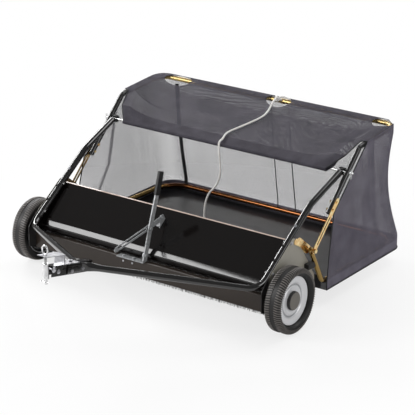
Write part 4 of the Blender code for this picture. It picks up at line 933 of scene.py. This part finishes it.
def upper_hoop_shell():
    half = [(SIDE_TUBE_X, *arm_point(0.4925)), (SIDE_TUBE_X, *arm_point(HOOP_KNEE)),
            (SIDE_TUBE_X, HOOP_Y, HOOP_Z)]
    bend = TOP_CORNER - (BAG_HALF - SIDE_TUBE_X)
    route = evenly(rounded(both_ways(half), (0.024, bend, bend, 0.024), radians(3)), 0.006)
    return swept(route, circle(HOOP_RADIUS, 24), hoop_side(route))


def hoop_side(route):
    """A side vector that no run of the hoop is parallel to: mostly upright."""
    return np.broadcast_to(np.array([0.02, 0.35, 1.0]), route.shape)


def lower_hoop_shell():
    """Legs down from the pivot eyes, round the floor, with the eyes and the front crossbar."""
    leg = np.array(LOWER_BEND_LEG) - PIVOT
    step = leg / hypot(*leg)
    top = np.array(PIVOT) + step * 0.016
    half = [(LOWER_HOOP_X, *top), (LOWER_HOOP_X, *LOWER_BEND_LEG), (LOWER_HOOP_X, 0.930, 0.096)]
    route = evenly(rounded(both_ways(half), (0.040, 0.120, 0.120, 0.040), radians(3)), 0.010)
    shells = [swept(route, circle(HOOP_RADIUS, 24), np.broadcast_to((0.02, 1.0, 0.9), route.shape))]
    bar = [(-LOWER_HOOP_X, 0.330, 0.1065), (LOWER_HOOP_X, 0.330, 0.1065)]
    shells.append(swept(bar, circle(0.006, 20), (0, 0, 1)))
    outer = circle(EYE_RADIUS, 40)
    outer = outer + np.clip(outer @ step, 0, None)[:, None] * step * 1.2
    inner = circle(EYE_BORE, 40)
    near, far = EYE_SIDES
    for side in (1, -1):
        rings = [np.column_stack([np.full(40, side * x), ring + PIVOT])
                 for ring, x in ((outer, near), (outer, far), (inner, far), (inner, near))]
        shells.append((np.vstack(rings), grid_faces(4, 40, wrap_rows=True, wrap_columns=True)))
    return together(*shells)


def hoop_finish():
    """Yellow zinc in dark tones as painted shade, so that only its highlight line shows bright;
    towards the rear it runs to copper red, partly the plating's own tone and partly painted shade.
    """
    finish = Finish("hoop_zinc", (0.40, 0.22, 0.10), 0.16, 1.0)
    cloud = finish.noise(7.0, 3.0)
    # Darker and redder towards the rear: partly the plating's copper tone, partly painted shade.
    copper = finish.along(1).step(0.70, 0.78) * 0.75 + cloud * 0.25
    finish.colour(copper.step(0.2, 0.8), (0.42, 0.28, 0.10), (0.16, 0.060, 0.022))
    finish.roughness(finish.noise(260.0) * 0.10 + 0.10)
    return finish


hoop_paint = hoop_finish()
for side, name in SIDE_NAMES.items():
    make_piece(f"hopper_tube_{name}", side_tube_shell(side), black_paint, "hopper", 35,
               (f"side_tube_{name}",))
    repaint(yellow_zinc, "yellow_zinc", f"lift_arm_{name}")
# The top hoop's zinc colour is a darker copy of yellow_zinc's: painted shade on the hoop under the top
# cloth.
capped_zinc = worn_metal("capped_zinc", (0.80, 0.46, 0.17), (0.50, 0.40, 0.20), 0.34)
end = capped_zinc.along(1).step(0.540, 0.542)
capped_zinc.colour(end, (0.012, 0.012, 0.012), (0.50, 0.37, 0.16))
capped_zinc.put(capped_zinc.shader, {"Metallic": end})
make_piece("top_hoop", upper_hoop_shell(), capped_zinc, "hopper", 35, ("upper_hoop",))
make_piece("floor_hoop", lower_hoop_shell(), hoop_paint, "hopper", 35, ("lower_hoop",))


# Cross rod
# Bright rod through the hem and both side tubes, held by a hairpin clip at each end.
CLIP_X = 0.6590
rod_ends = [(x, *ROD) for x in (-0.6660, -0.6650, 0.6650, 0.6660)]
rod_section = circle(1.0, 24)[None] * np.array([0.0040, 0.0050, 0.0050, 0.0040])[:, None, None]
make_piece("hem_rod", swept(rod_ends, rod_section, (0, 0, 1)), steel, "hopper", 35,
           ("cross_rod",))
for side, name in SIDE_NAMES.items():
    wire = hairpin_route((0, 0, 1), (0, -1, 0)) + np.array([side * CLIP_X, *ROD])
    make_piece(f"hem_clip_{name}", swept(wire, circle(CLIP_WIRE, 10), (1, 0, 0)), steel, "hopper",
               40, (f"rod_clip_{name}",))


# Hopper cloth
# Black woven mesh, sewn as one wall round the sides and back and one top cloth; it sags between
# the hoops, and the wall's rear corners are drawn in.
BAG_THICK = 0.0004
BOTTOM_Z = 0.0690
REAR_BOTTOM = 0.9455
REAR_TOP = 0.8765
BOTTOM_CORNER = 0.070
CORNER_PULL = 0.036
WEAVE = 0.0022


def hopper_edge(side_ys, rear_y, corner, counts):
    """(x, y) from the left front round the back to the right front: straights and quarter arcs."""
    sides, arcs, rear = counts
    at = np.linspace(0, 1, sides)
    y = np.interp(at, np.linspace(0, 1, len(side_ys)), side_ys)
    run = np.column_stack([np.full(sides, BAG_HALF), y])
    angle = np.linspace(0, pi / 2, arcs)[1:]
    middle = (BAG_HALF - corner, rear_y - corner)
    arc = np.column_stack([middle[0] + corner * np.cos(angle), middle[1] + corner * np.sin(angle)])
    right = np.vstack([run, arc])
    back = np.column_stack([np.linspace(middle[0], -middle[0], rear)[1:-1], np.full(rear - 2, rear_y)])
    left = right[::-1] * (-1, 1)
    return np.vstack([right, back, left])[::-1]


def edge_height(y):
    """The top edge lies on the hoop's side run, which rises a little to the rear."""
    knee_y, knee_z = arm_point(HOOP_KNEE)
    return np.minimum(CLOTH_TOP, knee_z + HOOP_TILT * (y - knee_y) + CLOTH_TOP - HOOP_Z)


SIDE_TOPS = [arm_point(distance, -0.0155) for distance in (0.185, 0.290, 0.390, 0.500)]
SIDE_TOPS += [(y, edge_height(y)) for y in (0.612, 0.665, REAR_TOP - TOP_CORNER)]
COUNTS = (61, 21, 121)
PULL_CENTRE = (0.60, 0.89)
PULL_REACH = 0.30
FOLD_DEPTH = 0.0035
SLACK = 0.006
FRONT_EDGE_Z = (0.069, 0.107, 0.15, 0.20, 0.25, 0.278, 0.366, 0.428)
FRONT_EDGE_Y = (0.314, 0.312, 0.300, 0.285, 0.272, 0.265, 0.294, 0.311)


def wall_points(rows=56):
    """Straight lines from the floor's edge to the top edge, leaning in between the hoops.

    Near the rear corners the cloth is pulled inwards by a half sine of the height. Soft folds run
    down from the corners: a sine along the edge, strongest beside the corner. The left front edge
    bows forward between the tube and the floor.
    """
    side_ys = np.linspace(0.314, REAR_BOTTOM - BOTTOM_CORNER, 7)
    bottom = hopper_edge(side_ys, REAR_BOTTOM, BOTTOM_CORNER, COUNTS)
    tops_y, tops_z = zip(*SIDE_TOPS)
    top = hopper_edge(tops_y, REAR_TOP, TOP_CORNER, COUNTS)
    high = np.where(np.abs(top[:, 0]) > BAG_HALF - 0.001,
                    np.interp(top[:, 1], tops_y, tops_z), edge_height(top[:, 1]))
    share = np.linspace(0, 1, rows)[:, None]
    lean = np.clip((share - 0.10) / 0.83, 0, 1)
    away = np.hypot(np.abs(bottom[:, 0]) - PULL_CENTRE[0], bottom[:, 1] - PULL_CENTRE[1])
    near = np.clip(1 - away / PULL_REACH, 0, 1)
    pull = CORNER_PULL * near * np.sin(pi * lean)
    run = lengths(np.column_stack([bottom, bottom[:, :1] * 0]))
    fold = FOLD_DEPTH * np.sin(run * 46) * eased(near, 0.05, 0.7) * np.sin(pi * share) ** 1.5
    slack = SLACK * np.sin(pi * lean) * (np.sin(run * 5.1) * 0.5 + 0.5)
    inward = pull + slack + fold
    x = bottom[:, 0] + (top[:, 0] - bottom[:, 0]) * lean
    y = bottom[:, 1] + (top[:, 1] - bottom[:, 1]) * lean
    z = BOTTOM_Z + (high - BOTTOM_Z) * share
    forward = y[:, :1] - np.interp(z[:, :1], FRONT_EDGE_Z, FRONT_EDGE_Y)
    beside = np.clip(1 - (y - y[:, :1]) / 0.20, 0, 1) ** 2 * (x < 0)
    y = y - np.clip(forward, 0, None) * beside
    points = np.stack([x - 0.6 * inward * x / BAG_HALF, y - inward * eased(y, 0.62, 0.86), z], axis=-1)
    uv = np.stack([run * np.ones_like(share), z], axis=-1)
    return points, uv


def cloth_width(y):
    """Half the top cloth's width: it widens from the hem to the hoop and rounds the rear corners."""
    front = np.interp(y, [HEM_Y, 0.520, 0.600, 0.612], [0.547, 0.602, 0.626, BAG_HALF])
    past = np.clip((y - (REAR_TOP - TOP_CORNER)) / TOP_CORNER, 0, 1)
    return front - TOP_CORNER * (1 - np.sqrt(1 - past ** 2))


def roof(y, across):
    """The top cloth at a depth y and a share of its width.

    It is flat in the middle and rises by a high power of the share at the side edges.
    """
    edge = np.where(y < 0.600, np.interp(y, [HEM_Y, 0.520, 0.600], [HEM_Z, 0.600, edge_height(0.600)]),
                    edge_height(y))
    middle = cloth_middle(y)
    share = np.minimum(1, np.abs(across) / 0.92) ** 7
    ripple = 0.0014 * np.sin(across * 19 + y * 12) * (1 - share) * eased(y, 0.48, 0.60)
    z = middle + (edge - middle) * share + ripple * (1 - eased(y, 0.78, 0.84))
    return np.stack([cloth_width(y) * across, y * np.ones_like(across), z], axis=-1)


def top_points(rows=90, columns=121):
    """Rows from the hem to the rear edge, closer together towards the rear."""
    y = HEM_Y + (REAR_TOP - HEM_Y) * np.sin(np.linspace(0, pi / 2, rows))[:, None]
    points = roof(y, np.sin(np.linspace(-pi / 2, pi / 2, columns))[None])
    return points, points[..., :2]


CREASE_BEND = (0.476 + AXLE_Y, 0.316)
CREASE_SLOPES = (0.244, 0.67)
CREASE_HALF_WIDTH = (0.002, 0.018)
CREASE_CLOSER = 0.40


def mesh_finish(name, opening, closer, thread, lit):
    """A plain weave: a hole where both sine waves of the cloth's own measures are high.

    The holes close up by the stated amount towards the right side wall and along the left wall's
    crease, and fully in the doubled foot below the floor hoop. The crease is in the weave alone, not
    in the mesh: a line with a bend, the lesser of two straight ones. Its closed holes are painted
    shade of a fold.
    """
    finish = Finish(name, lit, 0.90, **{"Specular IOR Level": 0.15})
    across = finish.along(0)
    height = finish.along(2)
    foot = 1 - height.step(0.108, 0.112)
    above_bend = height - CREASE_BEND[1]
    crease_line = (above_bend * CREASE_SLOPES[0]).least(above_bend * CREASE_SLOPES[1]) + CREASE_BEND[0]
    beside_line = (finish.along(1) - crease_line).size().step(*CREASE_HALF_WIDTH)
    # Along the crease the holes close: painted shade of a fold that the mesh does not have.
    crease = (1 - beside_line) * (1 - across.step(-0.61, -0.59))
    opening = across.step(0.56, 0.64) * closer + opening + foot + crease * CREASE_CLOSER
    uv = finish.node("TexCoord", output=2)
    u = finish.along(0, uv)
    v = finish.along(1, uv)
    warp = (u * (pi / WEAVE)).sine().size()
    weft = (v * (pi / WEAVE)).sine().size()
    hole = warp.least(weft).step(opening - 0.06, opening + 0.06)
    finish.put(finish.shader, {"Alpha": 1 - hole})
    finish.colour(finish.noise(14.0, 4.0).step(0.3, 0.7), thread, lit)
    finish.bump(warp + weft, 0.0004, 0.3)
    return finish


def sheet_piece(name, surface, finish, cutters=()):
    """A cloth surface given its thickness, with the hoop's openings cut out of it."""
    points, uv = surface
    rows, columns = points.shape[:2]
    piece = make_piece(name, (points.reshape(-1, 3), grid_faces(rows, columns)), finish, "hopper",
                       60, ("hopper_bag",), uv.reshape(-1, 2), False)
    solid = piece.modifiers.new("thickness", "SOLIDIFY")
    solid.thickness = BAG_THICK
    solid.offset = -1
    for cutter in cutters:
        opening = piece.modifiers.new("opening", "BOOLEAN")
        opening.object = cutter
        opening.operation = "DIFFERENCE"
    bpy.context.view_layer.update()
    evaluated = piece.evaluated_get(bpy.context.evaluated_depsgraph_get())
    finished = bpy.data.meshes.new_from_object(evaluated)
    piece.modifiers.clear()
    piece.data = finished


CUT_OUTS = ((0.050, 0.832, 0.064), (0.596, 0.830, 0.050), (-0.512, 0.829, 0.074))
CUT_Z = 0.668
CUT_DEPTH = 0.045
CUT_HEIGHT = 0.041


def opening_cutter(x, y, reach):
    """An ellipsoid from latitude and longitude."""
    lat = np.linspace(-pi / 2, pi / 2, 25)[:, None]
    lon = np.arange(48)[None] * 2 * pi / 48
    points = np.stack([x + reach * np.cos(lat) * np.cos(lon),
                       y + AXLE_Y + CUT_DEPTH * np.cos(lat) * np.sin(lon),
                       CUT_Z + CUT_HEIGHT * np.sin(lat) * np.ones_like(lon)], axis=-1)
    mesh = bpy.data.meshes.new("opening")
    mesh.from_pydata(points.reshape(-1, 3).tolist(), [], grid_faces(25, 48, wrap_columns=True))
    bm = bmesh.new()
    bm.from_mesh(mesh)
    bmesh.ops.remove_doubles(bm, verts=bm.verts, dist=0.00001)
    bmesh.ops.recalc_face_normals(bm, faces=bm.faces)
    bm.to_mesh(mesh)
    bm.free()
    return placed("opening", mesh)


wall_cloth = mesh_finish("wall_cloth", 0.37, 0.30, (0.130, 0.120, 0.150), (0.178, 0.166, 0.206))
roof_cloth = mesh_finish("roof_cloth", 0.70, 0.0, (0.058, 0.054, 0.067), (0.091, 0.085, 0.105))
cutters = [opening_cutter(*place) for place in CUT_OUTS]
wall = wall_points()
sheet_piece("bag_wall", wall, wall_cloth, cutters)
top_cloth = top_points()
sheet_piece("bag_top", top_cloth, roof_cloth, cutters)
for cutter in cutters:
    bpy.data.objects.remove(cutter, do_unlink=True)


# Hems, piping and straps
# Doubled cloth round the rod, black binding along every cut edge, and sewn-on webbing at the back.
def webbing_finish():
    finish = Finish("webbing", (0.016, 0.016, 0.018), 0.70)
    rib = finish.noise(2200.0, 1.0, (1, 1, 0.2))
    finish.colour(rib.step(0.3, 0.7), (0.010, 0.010, 0.012), (0.030, 0.029, 0.033))
    finish.bump(rib, 0.0004, 0.6)
    return finish


webbing = webbing_finish()
doubled_cloth = mesh_finish("doubled_cloth", 0.97, 0.0, (0.048, 0.045, 0.055), (0.074, 0.069, 0.084))
FLAP_END = 0.520
UNDERSIDE_END = 0.500
HEM_DEPTH = 0.0150


def hem_shell():
    """The doubled front edge: a flap on the roof, a half-round turn, and a flap below the rod.

    The lower flap ripples a little and is eased up to the roof at its rear end.
    """
    across = np.linspace(-1, 1, 121)[None]
    flap = np.linspace(FLAP_END, HEM_Y, 14)[:, None]
    upper = roof(flap, across) + (0, 0, 0.0011)
    turn = np.linspace(pi / 2, 3 * pi / 2, 9)[1:-1, None]
    bend = np.stack([0 * turn, 0.0075 * np.cos(turn), 0.0080 * np.sin(turn) - 0.0080], axis=-1)
    front = upper[-1][None] + bend
    back = np.linspace(HEM_Y, UNDERSIDE_END, 9)[:, None]
    lower = roof(back, across) - (0, 0, HEM_DEPTH)
    lower[..., 2] += 0.0006 * np.sin(across * 23) + 0.0144 * eased(back, 0.485, UNDERSIDE_END)
    points = np.concatenate([upper, front, lower])
    run = lengths(points[:, 60])[:, None]
    return points, np.stack([points[..., 0], run * np.ones_like(across)], axis=-1)


hem = hem_shell()
sheet_piece("bag_hem", hem, doubled_cloth)


def sewn(name, shell):
    make_piece(name, shell, webbing, "hopper", 60)


def piping(name, route, side, radius=0.0026):
    sewn(name, swept(evenly(np.asarray(route), 0.010), circle(radius, 12), side))


wall_grid = wall[0]
piping("floor_piping", wall_grid[0] + (0, 0, -0.0004), (0.01, 0.02, 1), 0.0034)
piping("wall_piping_left", wall_grid[:, 0], (1, 0, 0))
piping("wall_piping_right", wall_grid[:, -1], (1, 0, 0))
for name, part in (("left", slice(0, 38)), ("right", slice(-38, None))):
    piping(f"side_piping_{name}", wall_grid[-1, part], (1, 0, 0.02))
for name, column in (("left", 0), ("right", -1)):
    front = top_cloth[0][:, column]
    piping(f"slant_piping_{name}", front[front[:, 1] < 0.613], (0, 0.2, 1))


STRAP_FOOT = 0.10
STRAP_TOP = 0.630


def wall_strap(x, half_width):
    """A flat strap that follows the back wall's inner face, at the column nearest to x."""
    middle = np.argmin(np.abs(wall_grid[0, :, 0] - x) + 10 * (wall_grid[0, :, 1] < 0.80))
    line = wall_grid[:, middle]
    line = line[(line[:, 2] > STRAP_FOOT) & (line[:, 2] < STRAP_TOP)] + (0, -BAG_THICK - 0.0010, 0)
    section = np.array([(half_width, 0.0007), (-half_width, 0.0007), (-half_width, -0.0007),
                        (half_width, -0.0007)])
    return swept(line, section, (1, 0, 0))


STRAPS = (("wide", -0.555, 0.010), ("left", -0.015, 0.0022), ("right", 0.075, 0.0022))
for name, x, half_width in STRAPS:
    sewn(f"back_strap_{name}", wall_strap(x, half_width))


# Hopper floor
# Glossy black vinyl sheet, slightly wavy, with a turned-up front lip over the crossbar.
FLOOR_TOP = 0.0662
FLOOR_UNDERSIDE = 0.0647
FLOOR_MIDDLE = (0.0, 0.62)


def floor_shell():
    """The floor's outline filled by rings that shrink to its middle, top and underside."""
    side_ys = np.linspace(0.316, REAR_BOTTOM - BOTTOM_CORNER, 7)
    edge = hopper_edge(side_ys, REAR_BOTTOM - 0.0008, BOTTOM_CORNER, (30, 15, 60))
    centre = np.array(FLOOR_MIDDLE)
    shares = np.linspace(1.0, 0.02, 26)[:, None, None]
    flat = centre + (edge - centre) * shares
    x, y = flat[..., 0], flat[..., 1]
    wave = 0.0004 * np.sin(x * 21 + 2 * np.sin(y * 17)) * np.sin(y * 25)
    inside = np.clip((1 - shares[..., 0]) * 8, 0, 1)
    upper = np.stack([x, y, FLOOR_TOP + wave * inside], axis=-1).reshape(-1, 3)
    under = upper * (1, 1, 0) + (0, 0, FLOOR_UNDERSIDE)
    count = edge.shape[0]
    rows = len(shares)
    faces = grid_faces(rows, count, wrap_columns=True)
    last = (rows - 1) * count
    faces.append([last + i for i in range(count)])
    total = len(upper)
    under_faces = [[total + i for i in face[::-1]] for face in faces]
    rim = [[i, (i + 1) % count, total + (i + 1) % count, total + i] for i in range(count)]
    lip = rounded([(0.3160, 0.0655), (0.3160, 0.1240), (0.3140, 0.1240)], (0.0009,), radians(20))
    lip_sheet = bent_sheet(lip, 0.0016, -0.6220, 0.6220, 41)
    return together((np.vstack([upper, under]), faces + under_faces + rim), lip_sheet)


def vinyl_finish():
    finish = Finish("black_vinyl", (0.022, 0.021, 0.023), 0.42, **{"Specular IOR Level": 0.25})
    cloud = finish.noise(5.0, 3.0)
    finish.colour(cloud.step(0.3, 0.7), (0.018, 0.017, 0.018), (0.034, 0.032, 0.034))
    finish.roughness(cloud * 0.12 + 0.34)
    finish.bump(finish.noise(5.0, 2.0), 0.003, 0.12)
    return finish


make_piece("floor_sheet", floor_shell(), vinyl_finish(), "hopper", 30, ("hopper_tray",))


# Studio
# White floor that the camera sees as pure white away from the machine, a white sky, and five soft
# lamps: a large one to the front left, two strips to the left and rear left, one above and one right.
floor_mesh = bpy.data.meshes.new("floor")
floor_mesh.from_pydata([(-40, -40, 0), (40, -40, 0), (40, 40, 0), (-40, 40, 0)], [], [[0, 1, 2, 3]])
studio_floor = placed("studio_floor", floor_mesh)
floor_paint = Finish("studio_floor", (0.86, 0.86, 0.86), 0.9)
away = floor_paint.node("VectorMath", {"operation": "LENGTH"}, {0: floor_paint.place()}, 1)
bare = away.step(0.7, 1.6) * 0.25 + 0.75
seen = floor_paint.node("LightPath", output=0)
white = floor_paint.node("Emission", None, {"Color": (1, 1, 1, 1), "Strength": 1.0})
lit = Socket(floor_paint, floor_paint.shader.outputs[0])
shown = floor_paint.node("MixShader", None, {0: seen * bare, 1: lit, 2: white})
surface = floor_paint.tree.nodes["Material Output"]
floor_paint.put(surface, {"Surface": shown})
floor_mesh.materials.append(floor_paint.material)
LAMP_TARGET = Vector((0, 0, 0.35))


def soft_light(name, direction, distance, width, height, brightness):
    """A rectangular lamp that faces the machine; its power gives the stated radiance."""
    data = bpy.data.lights.new(name, "AREA")
    data.shape = "RECTANGLE"
    data.size = width
    data.size_y = height
    data.energy = brightness * width * height * pi
    lamp = placed(name, data)
    aim = Vector(direction).normalized()
    lamp.location = LAMP_TARGET + aim * distance
    lamp.rotation_euler = aim.to_track_quat("Z", "Y").to_euler()


LAMPS = (("front_left_box", (-0.55, -0.66, 0.42), 4.5, 2.0, 1.7, 12.0),
         ("left_strip", (-0.86, 0.25, 0.44), 4.5, 2.4, 0.7, 20.0),
         ("overhead_box", (0.30, 0.75, 1.0), 4.0, 3.0, 2.0, 3.5),
         ("right_box", (1.0, -0.10, 0.45), 5.0, 2.2, 2.2, 3.0),
         ("rear_left_box", (-0.55, 0.76, 0.33), 5.0, 2.6, 0.7, 7.0))
for lamp in LAMPS:
    soft_light(*lamp)
SKY_LIGHT = 0.22
SKY_SEEN = 1.0
world = bpy.data.worlds.new("studio")
bpy.context.scene.world = world
world.use_nodes = True
sky = world.node_tree.nodes["Background"]
paths = world.node_tree.nodes.new("ShaderNodeLightPath")
level = world.node_tree.nodes.new("ShaderNodeMapRange")
level.inputs["To Min"].default_value = SKY_LIGHT
level.inputs["To Max"].default_value = SKY_SEEN
world.node_tree.links.new(paths.outputs["Is Camera Ray"], level.inputs[0])
world.node_tree.links.new(level.outputs[0], sky.inputs["Strength"])
sky.inputs["Color"].default_value = (1, 1, 1, 1)
bpy.context.scene.view_settings.view_transform = "Standard"
